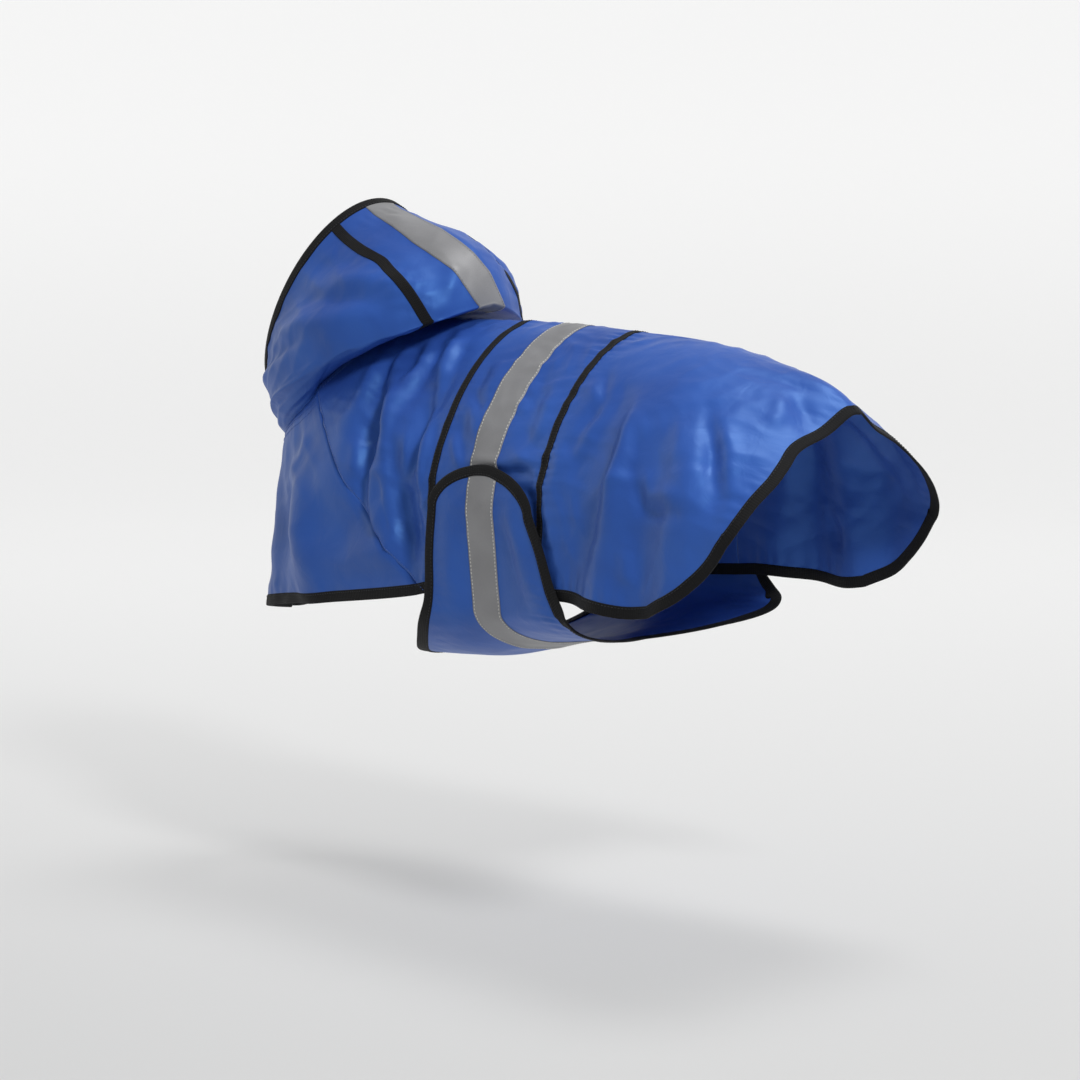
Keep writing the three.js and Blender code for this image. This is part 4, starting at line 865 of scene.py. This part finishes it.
def grosgrain_binding():
    """Black woven polyester binding tape: matt, with fine cross ribs."""
    material, tree, shader = new_material(
        "grosgrain_polyester_black",
        Roughness=0.75,
        Specular_IOR_Level=0.2,
        Sheen_Weight=0.03,
        Sheen_Roughness=0.5,
    )
    threads = node(tree, "ShaderNodeUVMap", {"uv_map": "cloth"}).outputs["UV"]
    # Ribs about 0.5 mm apart are drawn 1.2 mm apart so that they show
    coarse = {"Scale": 130.0, "Distortion": 0.8}
    ribs = node(tree, "ShaderNodeTexWave", {"bands_direction": "X"}, coarse, {"Vector": threads})
    fine = {"Scale": 190.0, "Distortion": 0.5}
    cross = node(tree, "ShaderNodeTexWave", {"bands_direction": "Y"}, fine, {"Vector": threads})
    woven = {0: ribs.outputs["Fac"], 2: cross.outputs["Fac"]}
    both = node(tree, "ShaderNodeMath", {"operation": "MULTIPLY_ADD"}, {1: 0.7}, woven)
    black = ramp(tree, ribs.outputs["Fac"], [(0.0, 0x09090A), (1.0, 0x131315)])
    tree.links.new(black, shader.inputs["Base Color"])
    ridge = {"Strength": 0.5, "Distance": 0.0004}
    bump = node(tree, "ShaderNodeBump", inputs=ridge, links={"Height": both.outputs["Value"]})
    tree.links.new(bump.outputs["Normal"], shader.inputs["Normal"])
    return material


def reflective_tape():
    """Grey reflective tape of fine glass beads bonded to polyester: even, slightly sparkling, half matt."""
    material, tree, shader = new_material("glass_bead_reflective_grey", Roughness=0.5, Metallic=0.15, IOR=1.5)
    place = node(tree, "ShaderNodeTexCoord").outputs["Object"]
    # Beads of 0.05 mm are drawn as specks of about 0.8 mm
    beads = node(tree, "ShaderNodeTexNoise", inputs={"Scale": 1200.0, "Detail": 1.0}, links={"Vector": place})
    cloud = node(tree, "ShaderNodeTexNoise", inputs={"Scale": 22.0, "Detail": 2.0}, links={"Vector": place})
    specks = {0: beads.outputs["Fac"], 2: cloud.outputs["Fac"]}
    blend = node(tree, "ShaderNodeMath", {"operation": "MULTIPLY_ADD"}, {1: 0.35}, specks)
    grey = ramp(tree, blend.outputs["Value"], [(0.35, 0x7C7C7E), (0.65, 0x88888A), (0.95, 0x929294)])
    tree.links.new(grey, shader.inputs["Base Color"])
    grain = {"Strength": 0.12, "Distance": 0.0003}
    bump = node(tree, "ShaderNodeBump", inputs=grain, links={"Height": beads.outputs["Fac"]})
    under = {"Height": cloud.outputs["Fac"], "Normal": bump.outputs["Normal"]}
    soft = node(tree, "ShaderNodeBump", inputs={"Strength": 0.3, "Distance": 0.0012}, links=under)
    tree.links.new(soft.outputs["Normal"], shader.inputs["Normal"])
    return material


def thread(name, code):
    """Spun polyester sewing thread: matt, a little lighter and darker along its twist."""
    material, tree, shader = new_material(name, Roughness=0.65, IOR=1.5)
    place = node(tree, "ShaderNodeTexCoord").outputs["Object"]
    twist = node(tree, "ShaderNodeTexNoise", inputs={"Scale": 900.0, "Detail": 1.0}, links={"Vector": place})
    dark = sum((int(((code >> shift) & 255) * 0.82) << shift) for shift in (16, 8, 0))
    tone = ramp(tree, twist.outputs["Fac"], [(0.35, dark), (0.65, code)])
    tree.links.new(tone, shader.inputs["Base Color"])
    return material


TAFFETA = coated_taffeta()
GROSGRAIN = grosgrain_binding()
GLASS_BEAD = reflective_tape()
PALE_THREAD = thread("polyester_thread_pale_grey", 0xDEDDD6)
BLUE_THREAD = thread("polyester_thread_blue", 0x3E63B8)
BLACK_THREAD = thread("polyester_thread_black", 0x202024)

# Meshes from grids of points


def grid_lengths(points):
    """Distances in metres along a grid's rows and columns, for its threads."""
    down = np.linalg.norm(np.diff(points, axis=0), axis=2).mean(axis=1)
    over = np.linalg.norm(np.diff(points, axis=1), axis=2).mean(axis=0)
    u = np.concatenate([[0], np.cumsum(down)]) * MM
    v = np.concatenate([[0], np.cumsum(over)]) * MM
    return np.stack(np.meshgrid(u, v, indexing="ij"), axis=-1)


def make_piece(name, points, faces, uvs, material):
    """A smooth mesh object in metres at the origin, with its thread directions as a UV map."""
    mesh = bpy.data.meshes.new(name)
    mesh.from_pydata((points * MM).tolist(), [], faces)
    layer = mesh.uv_layers.new(name="cloth")
    corners = np.empty(len(mesh.loops), dtype=np.int64)
    mesh.loops.foreach_get("vertex_index", corners)
    layer.data.foreach_set("uv", uvs[corners].astype(np.float32).ravel())
    mesh.polygons.foreach_set("use_smooth", np.ones(len(mesh.polygons), dtype=bool))
    mesh.materials.append(material)
    mesh.update()
    piece = bpy.data.objects.new(name, mesh)
    bpy.context.scene.collection.objects.link(piece)
    return piece


def volume_of(points, faces):
    a, b, c, d = (points[np.array([face[k] for face in faces])] for k in range(4))
    return float(np.sum(a * np.cross(b, c)) + np.sum(a * np.cross(c, d)))


def shell(name, outer, wall, material, normals=None):
    """A closed thin shell on a grid of outer points, as thick as wall in millimetres."""
    rows, cols = outer.shape[:2]
    if normals is None:
        normals = grid_normals(outer)
    inner = outer - normals * wall
    points = np.concatenate([outer.reshape(-1, 3), inner.reshape(-1, 3)])
    uv = grid_lengths(outer).reshape(-1, 2)
    count = rows * cols
    index = np.arange(count).reshape(rows, cols)
    top = np.stack([index[:-1, :-1], index[:-1, 1:], index[1:, 1:], index[1:, :-1]], axis=-1).reshape(-1, 4)
    rim = np.concatenate([index[0, :], index[1:, -1], index[-1, -2::-1], index[-2:0:-1, 0]])
    after = np.roll(rim, -1)
    side = np.stack([after, rim, rim + count, after + count], axis=-1)
    bottom = top[:, ::-1] + count
    faces = np.concatenate([top, bottom, side])
    if volume_of(points, faces) < 0:
        faces = faces[:, ::-1]
    return make_piece(name, points, faces.tolist(), np.concatenate([uv, uv]), material)


def grid_normals(points):
    """Normals of a grid of points, all turned the same way as the first grid axis crossed with the second."""
    down = np.gradient(points, axis=0)
    over = np.gradient(points, axis=1)
    return unit(np.cross(down, over))


def outward(points, surface, a, b):
    """Normals of a grid, turned to the outside of its surface."""
    normals = grid_normals(points)
    facing = np.sum(normals * surface.normal(a, b), axis=-1)
    return normals * (1.0 if facing.mean() > 0 else -1.0)


def panel(name, surface, a, b, wall=CLOTH_WALL, lift=0.0, material=TAFFETA):
    points = surface.at(a, b, lift)
    return shell(name, points, wall, material, outward(points, surface, a, b))


def hood_panel(name, start, end, cols):
    """A panel of the hood, with its seam allowance as an extra first row."""
    v = evenly(96)[:, None]
    sides = [turn + (hood_lean(v, turn) if abs(turn) < HOOD_CORNER else 0) for turn in (start, end)]
    turn = mix(*sides, evenly(cols)[None, :])
    v = np.broadcast_to(v, turn.shape)
    points = hood.at(v, turn)
    normals = outward(points, hood, v, turn)
    points = np.concatenate([seam_allowance(turn[:1]), points])
    normals = np.concatenate([normals[:1], normals])
    return shell(name, points, CLOTH_WALL, TAFFETA, normals)


def evenly(count, start=0.0, end=1.0):
    return np.linspace(start, end, count)


def trunk_grid(start, end, rows, cols):
    """Places (x, b) of a trunk panel between two seams."""
    s = evenly(rows)[:, None]
    b = evenly(cols, -1, 1)[None, :]
    x = mix(start(b), end(b), s)
    return x, np.broadcast_to(b, x.shape)


def front_grid(turns_end, rows, cols, mirrored):
    """Places (level, turn) of a front, from its shoulder seam to the closure."""
    level = evenly(rows)[:, None]
    share = evenly(cols)[None, :]
    start = 180.0 if mirrored else 0.0
    turn = mix(start, turns_end(level), share)
    return np.broadcast_to(level, turn.shape), turn


lap_edge = column(LAP_EDGE_TURN["level"], LAP_EDGE_TURN["turn"])
pieces = {}
for name, start, end, rows, cols in (
    ("back_skirt", waist_rear_x, rear_hem_x, 90, 280),
    ("waist_panel", waist_front_x, waist_rear_x, 62, 300),
    ("shoulder_panel", front_x, waist_front_x, 78, 290),
):
    pieces[name] = panel(name + "_cloth", trunk, *trunk_grid(start, end, rows, cols))
left_grid = front_grid(lambda at: np.full_like(at, LEFT_END_TURN), 74, 96, False)
pieces["left_front"] = panel("left_front_cloth", chest, *left_grid)
pieces["right_front"] = panel("right_front_cloth", lapped, *front_grid(lap_edge, 74, 120, True))
for name, start, end, cols in (
    ("hood_crown", -HOOD_PANEL, HOOD_PANEL, 56),
    ("hood_side_left", -HOOD_CORNER, -HOOD_PANEL, 96),
    ("hood_side_right", HOOD_PANEL, HOOD_CORNER, 96),
):
    pieces[name] = hood_panel(name + "_cloth", start, end, cols)


def strap_grid(rows, cols, w_start=-1.0, w_end=1.0, drawn_in=0.0):
    """Places (q, w) of the strap, with its rows closing up into its round ends."""
    w = evenly(cols, w_start, w_end)[None, :]
    s = evenly(rows, -1, 1)[:, None]
    q = s * (strap_end_q(w) - drawn_in)
    return q, np.broadcast_to(w, q.shape)


pieces["belly_strap"] = panel("belly_strap_cloth", strap, *strap_grid(230, 60))

# Tapes


def girth_tape(name, middle, width, rows, material, cols):
    """A tape round the trunk, from just above one hem to just above the other."""
    b = evenly(rows, -TAPE_END_B, TAPE_END_B)[:, None]
    offset = evenly(cols, -width / 2, width / 2)[None, :]
    x = middle(b) + offset
    return panel(name, trunk, x, np.broadcast_to(b, x.shape), TAPE_WALL, TAPE_LIFT, material)


def reflective_middle(b):
    return np.full_like(b, REFLECTIVE_X)


for name, middle, width, rows, material, cols in (
    ("waist_reflective", reflective_middle, REFLECTIVE, 260, GLASS_BEAD, 21),
    ("waist_seam_front", waist_front_x, SEAM_TAPE, 300, GROSGRAIN, 9),
    ("waist_seam_rear", waist_rear_x, SEAM_TAPE, 300, GROSGRAIN, 9),
):
    pieces[name] = girth_tape(name + "_tape", middle, width, rows, material, cols)


def hood_line(v, middle_turn, offset):
    """Turn of a line on the hood, an offset in millimetres beside a seam or a tape's middle."""
    middle = middle_turn + hood_lean(v, middle_turn)
    step = 1.0
    width = length_of(hood_place(v, middle + step) - hood_place(v, middle - step))[..., 0] / (2 * step)
    return middle + offset / np.maximum(width, 0.3)


def hood_strip(name, middle_turn, width, material, cols):
    v = evenly(150, HOOD_TAPE_FROM, 0.975)[:, None]
    turn = hood_line(v, middle_turn, width * evenly(cols, -0.5, 0.5)[None, :])
    return panel(name, hood, np.broadcast_to(v, turn.shape), turn, TAPE_WALL, TAPE_LIFT, material)


for name, middle_turn, width, material, cols in (
    ("hood_reflective", 0, REFLECTIVE, GLASS_BEAD, 21),
    ("hood_seam_left", -HOOD_PANEL, HOOD_TAPE, GROSGRAIN, 9),
    ("hood_seam_right", HOOD_PANEL, HOOD_TAPE, GROSGRAIN, 9),
):
    pieces[name] = hood_strip(name + "_tape", middle_turn, width, material, cols)
tape_grid = strap_grid(230, 17, -TAPE_AT, TAPE_AT, 0.09)
pieces["strap_reflective"] = panel(
    "strap_reflective_tape", strap, *tape_grid, TAPE_WALL, TAPE_LIFT, GLASS_BEAD
)

# Bindings folded over the edges


def resample(points, step):
    """Even places along a line of points, and their shares for other columns of the same line."""
    spans = np.linalg.norm(np.diff(points, axis=0), axis=1)
    at = np.concatenate([[0], np.cumsum(spans)])
    places = np.linspace(0, at[-1], max(8, int(at[-1] / step)))
    return lambda values: np.stack([np.interp(places, at, value) for value in values.T], axis=1)


def binding(name, edge, inside, normals, closed, step=3.0):
    """A binding over an edge: points on the edge, points a binding's width inside it, and outward normals."""
    take = resample(edge, step)
    edge, inside, normals = take(edge), take(inside), unit(take(normals))
    if closed:
        edge, inside, normals = edge[:-1], inside[:-1], normals[:-1]
    if closed:
        along = unit(np.roll(edge, -1, axis=0) - np.roll(edge, 1, axis=0))
    else:
        along = unit(np.gradient(edge, axis=0))
    out = unit(np.cross(along, normals))
    out *= np.sign(np.sum(out * (edge - inside), axis=1))[:, None]
    lift = TAPE_LIFT + 0.25
    thick = CLOTH_WALL
    # The section: from the inner line over the outer face, round the edge and back under the cloth
    section = [
        (1.0, 0.15, 0.0),
        (0.93, lift, 0.0),
        (0.6, lift + 0.12, 0.0),
        (0.25, lift + 0.15, 0.0),
        (0.0, lift + 0.05, 0.3),
        (0.0, lift * 0.4, 1.1),
        (0.0, -thick - lift * 0.4, 1.1),
        (0.0, -thick - lift - 0.05, 0.3),
        (0.25, -thick - lift - 0.15, 0.0),
        (0.6, -thick - lift - 0.12, 0.0),
        (0.93, -thick - lift, 0.0),
        (1.0, -thick - 0.15, 0.0),
        (0.9, -thick - 0.05, 0.0),
        (0.2, -thick - 0.05, 0.0),
        (0.0, -thick * 0.5, 0.35),
        (0.2, 0.05, 0.0),
        (0.9, 0.05, 0.0),
    ]
    ring = np.stack([mix(edge, inside, s) + normals * up + out * push for s, up, push in section], axis=1)
    rows, cols = ring.shape[:2]
    count = np.arange(rows * cols).reshape(rows, cols)
    after = np.roll(count, -1, axis=0) if closed else count[1:]
    here = count if closed else count[:-1]
    quads = np.stack([here, np.roll(here, -1, axis=1), np.roll(after, -1, axis=1), after], axis=-1)
    quads = quads.reshape(-1, 4)
    points = ring.reshape(-1, 3)
    faces = quads.tolist()
    if not closed:
        faces += [count[0][::-1].tolist(), count[-1].tolist()]
    if volume_of(points, quads) < 0:
        faces = [face[::-1] for face in faces]
    lengths = np.concatenate([[0], np.cumsum(np.linalg.norm(np.diff(edge, axis=0), axis=1))]) * MM
    across = np.array([abs(s - 1) * HEM_BINDING * MM + (0.02 if up < 0 else 0) for s, up, _ in section])
    uvs = np.stack(np.broadcast_arrays(lengths[:, None], across[None, :]), axis=-1).reshape(-1, 2)
    return make_piece(name, points, faces, uvs, GROSGRAIN)


def edge_line(surface, a, b, a_in, b_in):
    """Edge points, points a binding's width inside them, and normals. The places (a_in, b_in) lie inside."""
    edge = surface.at(a, b)
    normals = surface.normal(a, b)
    inward = unit(np.cross(normals, np.gradient(edge, axis=0)))
    inward *= np.sign(np.sum(inward * (surface.at(a_in, b_in) - edge), axis=-1))[:, None]
    at = np.clip(a, surface.low, surface.high)
    along_a = (surface.place(at + surface.da, b) - surface.place(at - surface.da, b)) / (2 * surface.da)
    along_b = (surface.place(at, b + surface.db) - surface.place(at, b - surface.db)) / (2 * surface.db)
    aa = np.sum(along_a * along_a, axis=-1)
    ab = np.sum(along_a * along_b, axis=-1)
    bb = np.sum(along_b * along_b, axis=-1)
    to_a, to_b = (np.sum(inward * HEM_BINDING * p, axis=-1) for p in (along_a, along_b))
    whole = aa * bb - ab * ab
    inside = surface.at(a + (to_a * bb - to_b * ab) / whole, b + (to_b * aa - to_a * ab) / whole)
    return edge, inside, normals


def joined(*runs):
    return [np.concatenate([run[k] for run in runs]) for k in range(3)]


def reversed_run(run):
    return [part[::-1] for part in run]


SIDE_STEP = 0.94
run_x = np.linspace(139, 440, 130)
left_side = edge_line(trunk, run_x, np.full_like(run_x, -1), run_x, np.full_like(run_x, -SIDE_STEP))
right_side = edge_line(trunk, run_x, np.full_like(run_x, 1), run_x, np.full_like(run_x, SIDE_STEP))
rear_run = np.linspace(-0.995, 0.995, 260)
rear_x = rear_hem_x(rear_run)
rear_in_b = rear_run * 0.97
rear_in_x = rear_x - 18 * (1 - np.abs(rear_run) ** 6)
rear = edge_line(trunk, rear_x, rear_run, rear_in_x, rear_in_b)
left_turn = np.linspace(LEFT_END_TURN, 0, 110)
ones = np.ones_like(left_turn)
left_hem = edge_line(chest, ones, left_turn, ones * 0.93, left_turn)
right_turn = np.linspace(180, float(lap_edge(1.0)), 130)
ones = np.ones_like(right_turn)
right_hem = edge_line(lapped, ones, right_turn, ones * 0.93, right_turn)
hem = joined(left_hem, left_side, rear, reversed_run(right_side), right_hem)
pieces["hem_binding"] = binding("hem_binding_tape", *hem, closed=False)

hood_turns = np.linspace(-HOOD_CORNER, HOOD_CORNER, 240)
ones = np.ones_like(hood_turns)
opening = edge_line(hood, ones, hood_turns, ones * 0.93, hood_turns)
pieces["hood_edge_binding"] = binding("hood_edge_binding_tape", *opening, closed=False)

front_q = np.linspace(-STRAP_END_Q, STRAP_END_Q, 240)
end_w = np.sin(np.linspace(-math.pi / 2, math.pi / 2, 70))


def strap_edge(q, w):
    """Edge of the strap, with its inner line towards the strap's middle."""
    w_in = w * 0.84
    q_in = np.sign(q) * np.minimum(np.abs(q), strap_end_q(w_in) - 0.115 * (1 - np.abs(w) ** 4))
    return edge_line(strap, q, w, q_in, w_in)


left_end = strap_edge(-strap_end_q(end_w), end_w)
right_end = strap_edge(strap_end_q(end_w[::-1]), end_w[::-1])
rear_edge = strap_edge(front_q[1:-1], np.ones(len(front_q) - 2))
front_edge = strap_edge(front_q[::-1][1:-1], -np.ones(len(front_q) - 2))
around = joined(left_end, rear_edge, right_end, front_edge)
around = [np.concatenate([part, part[:1]]) for part in around]
pieces["strap_binding"] = binding("strap_binding_tape", *around, closed=True)

# Stitching

STITCH_STEP = 3.4
STITCH = {"length": 2.4, "width": 0.85}


def stitch_tree(material):
    """Geometry Nodes that lay one stitch after another along each line of a mesh."""
    tree = bpy.data.node_groups.new("stitches_" + material.name, "GeometryNodeTree")
    tree.interface.new_socket("Geometry", in_out="INPUT", socket_type="NodeSocketGeometry")
    for name in ("Step", "Length", "Width"):
        tree.interface.new_socket(name, in_out="INPUT", socket_type="NodeSocketFloat")
    tree.interface.new_socket("Geometry", in_out="OUTPUT", socket_type="NodeSocketGeometry")
    source = node(tree, "NodeGroupInput")
    line = node(tree, "GeometryNodeMeshToCurve", links={"Mesh": source.outputs["Geometry"]})
    even = node(tree, "GeometryNodeResampleCurve", {"mode": "LENGTH"}, links={"Curve": line.outputs["Curve"]})
    tree.links.new(source.outputs["Step"], even.inputs["Length"])
    tangent = node(tree, "GeometryNodeInputTangent")
    turned = node(
        tree, "FunctionNodeAlignRotationToVector", {"axis": "X"}, links={"Vector": tangent.outputs["Tangent"]}
    )
    bead = node(tree, "GeometryNodeMeshUVSphere", inputs={"Segments": 6, "Rings": 4, "Radius": 0.5})
    size = node(tree, "ShaderNodeCombineXYZ")
    for axis, name in (("X", "Length"), ("Y", "Width"), ("Z", "Width")):
        tree.links.new(source.outputs[name], size.inputs[axis])
    lay = node(
        tree,
        "GeometryNodeInstanceOnPoints",
        links={
            "Points": even.outputs["Curve"],
            "Instance": bead.outputs["Mesh"],
            "Rotation": turned.outputs["Rotation"],
            "Scale": size.outputs["Vector"],
        },
    )
    real = node(tree, "GeometryNodeRealizeInstances", links={"Geometry": lay.outputs["Instances"]})
    dressed = node(tree, "GeometryNodeSetMaterial", links={"Geometry": real.outputs["Geometry"]})
    dressed.inputs["Material"].default_value = material
    node(tree, "NodeGroupOutput", links={"Geometry": dressed.outputs["Geometry"]})
    return tree


def stitches(name, lines, material):
    """Stitches along lines of points, as one plain mesh that rides on the coat."""
    points = np.concatenate(lines) * MM
    edges = []
    start = 0
    for line in lines:
        edges += [(start + k, start + k + 1) for k in range(len(line) - 1)]
        start += len(line)
    mesh = bpy.data.meshes.new(name + "_line")
    mesh.from_pydata(points.tolist(), edges, [])
    path = bpy.data.objects.new(name + "_line", mesh)
    bpy.context.scene.collection.objects.link(path)
    tree = stitch_tree(material)
    modifier = path.modifiers.new("stitches", "NODES")
    modifier.node_group = tree
    sizes = {"Step": STITCH_STEP * MM, "Length": STITCH["length"] * MM, "Width": STITCH["width"] * MM}
    for item in tree.interface.items_tree:
        if item.in_out == "INPUT" and item.name in sizes:
            modifier[item.identifier] = sizes[item.name]
    path.update_tag()
    depsgraph = bpy.context.evaluated_depsgraph_get()
    made = bpy.data.meshes.new_from_object(path.evaluated_get(depsgraph))
    made.name = name
    bpy.data.objects.remove(path)
    if not made.materials:
        made.materials.append(material)
    piece = bpy.data.objects.new(name, made)
    bpy.context.scene.collection.objects.link(piece)
    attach(piece, "root")
    return piece


tape_b = evenly(420, -0.955, 0.955)
tape_lines = []
for edge in (-1, 1):
    x = np.full_like(tape_b, REFLECTIVE_X + edge * (REFLECTIVE / 2 - TAPE_STITCH_IN))
    tape_lines.append(trunk.at(x, tape_b, ON_TAPE))
    w_line = np.full(420, edge * TAPE_AT * 0.9)
    q_line = np.linspace(-1, 1, 420) * (strap_end_q(w_line) - 0.11)
    tape_lines.append(strap.at(q_line, w_line, ON_TAPE))
stitches("stitches_reflective", tape_lines, PALE_THREAD)

cloth_lines = []
seam_v = evenly(160, HOOD_TAPE_FROM, 0.95)
for edge in (-1, 1):
    turn = hood_line(seam_v, 0, edge * (REFLECTIVE / 2 - TAPE_STITCH_IN))
    cloth_lines.append(hood.at(seam_v, turn, ON_TAPE))
stitches("stitches_hood_reflective", cloth_lines, thread("polyester_thread_grey", 0x9A9BA0))

blue_lines = []
seam_level_b = evenly(200, NECK_CORNER + 0.01, 0.985)
for side in (-1, 1):
    blue_lines.append(trunk.at(shoulder_seam_x(seam_level_b) + 3.4, side * seam_level_b, ON_CLOTH))
for away in (4.0, 8.5):
    neck_b = evenly(220, -NECK_CORNER * 0.985, NECK_CORNER * 0.985)
    blue_lines.append(trunk.at(neck_back_x(neck_b) + away, neck_b, ON_CLOTH))
    for surface, start, end in ((chest, 1.0, 84.0), (lapped, 179.0, 72.0)):
        turn = np.linspace(start, end, 140)
        blue_lines.append(surface.at(np.full_like(turn, away / FRONT_LENGTH), turn, ON_CLOTH))
for away in (2.5, 9.0):
    level = evenly(140, 0.02, 0.93)
    blue_lines.append(lapped.at(level, lap_edge(level) + away / CHEST_SCALE[0], ON_CLOTH))
stitches("stitches_seams", blue_lines, BLUE_THREAD)

black_lines = []
for run, closed in ((hem, False), (opening, False), (around, True)):
    edge, inside, normals = run
    black_lines.append(mix(edge, inside, 0.8) + normals * ON_BINDING)
for seam in (waist_front_x, waist_rear_x):
    for edge in (-1, 1):
        black_lines.append(trunk.at(seam(tape_b) + edge * (SEAM_TAPE / 2 - SEAM_STITCH_IN), tape_b, ON_TAPE))
stitches("stitches_binding", black_lines, BLACK_THREAD)

# Each piece is attached to the root body, and the imported part of the same name is hidden
for name, piece in pieces.items():
    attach(piece, "root")
    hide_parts(name)

# Floor, light and camera


def glowing_studio_paper():
    """Matt white studio paper that glows by itself, as painted light: more on the far side than on the near
    side, and less on the floor.
    """
    material, tree, shader = new_material("studio_paper_glowing", Roughness=0.9)
    place = node(tree, "ShaderNodeTexCoord").outputs["Object"]
    far = node(tree, "ShaderNodeVectorMath", {"operation": "DOT_PRODUCT"}, links={0: place})
    far.inputs[1].default_value = (-0.72, 0.69, 0.0)
    height = node(tree, "ShaderNodeSeparateXYZ", links={"Vector": place})
    # Painted light: the paper glows more on its far side than on its near side
    glow = node(
        tree,
        "ShaderNodeMapRange",
        {"interpolation_type": "SMOOTHSTEP"},
        {"From Min": -3.0, "From Max": 3.0, "To Min": NEAR_GLOW, "To Max": FAR_GLOW},
        {"Value": far.outputs["Value"]},
    )
    # Painted shade: the paper glows less on the floor than on the wall
    rise = node(
        tree,
        "ShaderNodeMapRange",
        {"interpolation_type": "SMOOTHSTEP"},
        {"From Min": FLOOR_Z * MM, "From Max": 0.4, "To Min": FLOOR_GLOW_SHARE, "To Max": 1.0},
        {"Value": height.outputs["Z"]},
    )
    both = node(tree, "ShaderNodeMath", {"operation": "MULTIPLY"})
    tree.links.new(glow.outputs["Result"], both.inputs[0])
    tree.links.new(rise.outputs["Result"], both.inputs[1])
    tree.links.new(both.outputs["Value"], shader.inputs["Emission Strength"])
    shader.inputs["Emission Color"].default_value = linear(0xFFFFFF)
    shader.inputs["Base Color"].default_value = linear(0xA8A8A7)
    material.cycles.emission_sampling = "NONE"
    return material


def studio_bowl():
    """A round pale floor that curves up into a wall, so that no edge shows behind the coat."""
    profile = [(2.0, 0), (BOWL["floor"], 0)]
    for k in range(1, 13):
        angle = k / 12 * math.pi / 2
        profile.append((BOWL["floor"] + BOWL["bend"] * math.sin(angle), BOWL["bend"] * (1 - math.cos(angle))))
    profile.append((BOWL["floor"] + BOWL["bend"], BOWL["top"]))
    count = BOWL["sides"]
    points = []
    for radius, height in profile:
        for k in range(count):
            angle = 2 * math.pi * k / count
            points.append((radius * math.cos(angle), radius * math.sin(angle), height))
    points.append((0, 0, 0))
    faces = []
    for i in range(len(profile) - 1):
        for k in range(count):
            after = (k + 1) % count
            faces.append((i * count + k, i * count + after, (i + 1) * count + after, (i + 1) * count + k))
    centre = len(points) - 1
    faces += [(centre, (k + 1) % count, k) for k in range(count)]
    mesh = bpy.data.meshes.new("studio_bowl")
    raised = [(px, py, pz + FLOOR_Z * MM) for px, py, pz in points]
    mesh.from_pydata(raised, [], [face[::-1] for face in faces])
    mesh.polygons.foreach_set("use_smooth", np.ones(len(mesh.polygons), dtype=bool))
    mesh.materials.append(glowing_studio_paper())
    bowl = bpy.data.objects.new("studio_bowl", mesh)
    bpy.context.scene.collection.objects.link(bowl)


studio_bowl()
scene = bpy.context.scene
scene.view_settings.view_transform = "Standard"
world = bpy.data.worlds.new("studio_air")
world.use_nodes = True
world.node_tree.nodes["Background"].inputs["Color"].default_value = linear(0xF4F6FA)
world.node_tree.nodes["Background"].inputs["Strength"].default_value = 0.3
scene.world = world


def aim(thing, target):
    """Turns a lamp towards a point."""
    direction = np.array(target, float) - np.array(thing.location)
    yaw = math.atan2(direction[1], direction[0])
    flat = math.hypot(direction[0], direction[1])
    pitch = math.atan2(direction[2], flat)
    thing.rotation_euler = (math.pi / 2 + pitch, 0, yaw - math.pi / 2)


def soft_box(name, place, size, power, tint=0xFFFFFF):
    light = bpy.data.lights.new(name, "AREA")
    light.shape = "RECTANGLE"
    light.size, light.size_y = size
    light.energy = power
    light.color = linear(tint)[:3]
    lamp = bpy.data.objects.new(name, light)
    scene.collection.objects.link(lamp)
    lamp.location = place
    aim(lamp, (0.15, 0, -0.1))


soft_box("key_softbox", (2.7, -0.95, 1.8), (0.5, 0.5), 56)
soft_box("top_softbox", (0.7, 0.5, 2.6), (1.0, 1.0), 34)

camera_data = bpy.data.cameras.new("photo_camera")
camera_data.lens = 93.333
camera_data.sensor_width = 36.0
camera = bpy.data.objects.new("photo_camera", camera_data)
scene.collection.objects.link(camera)
camera.location = (2.055, -1.934, 0.091)
camera.rotation_euler = (math.radians(90 - 6.31), 0, math.radians(44.4))
scene.camera = camera
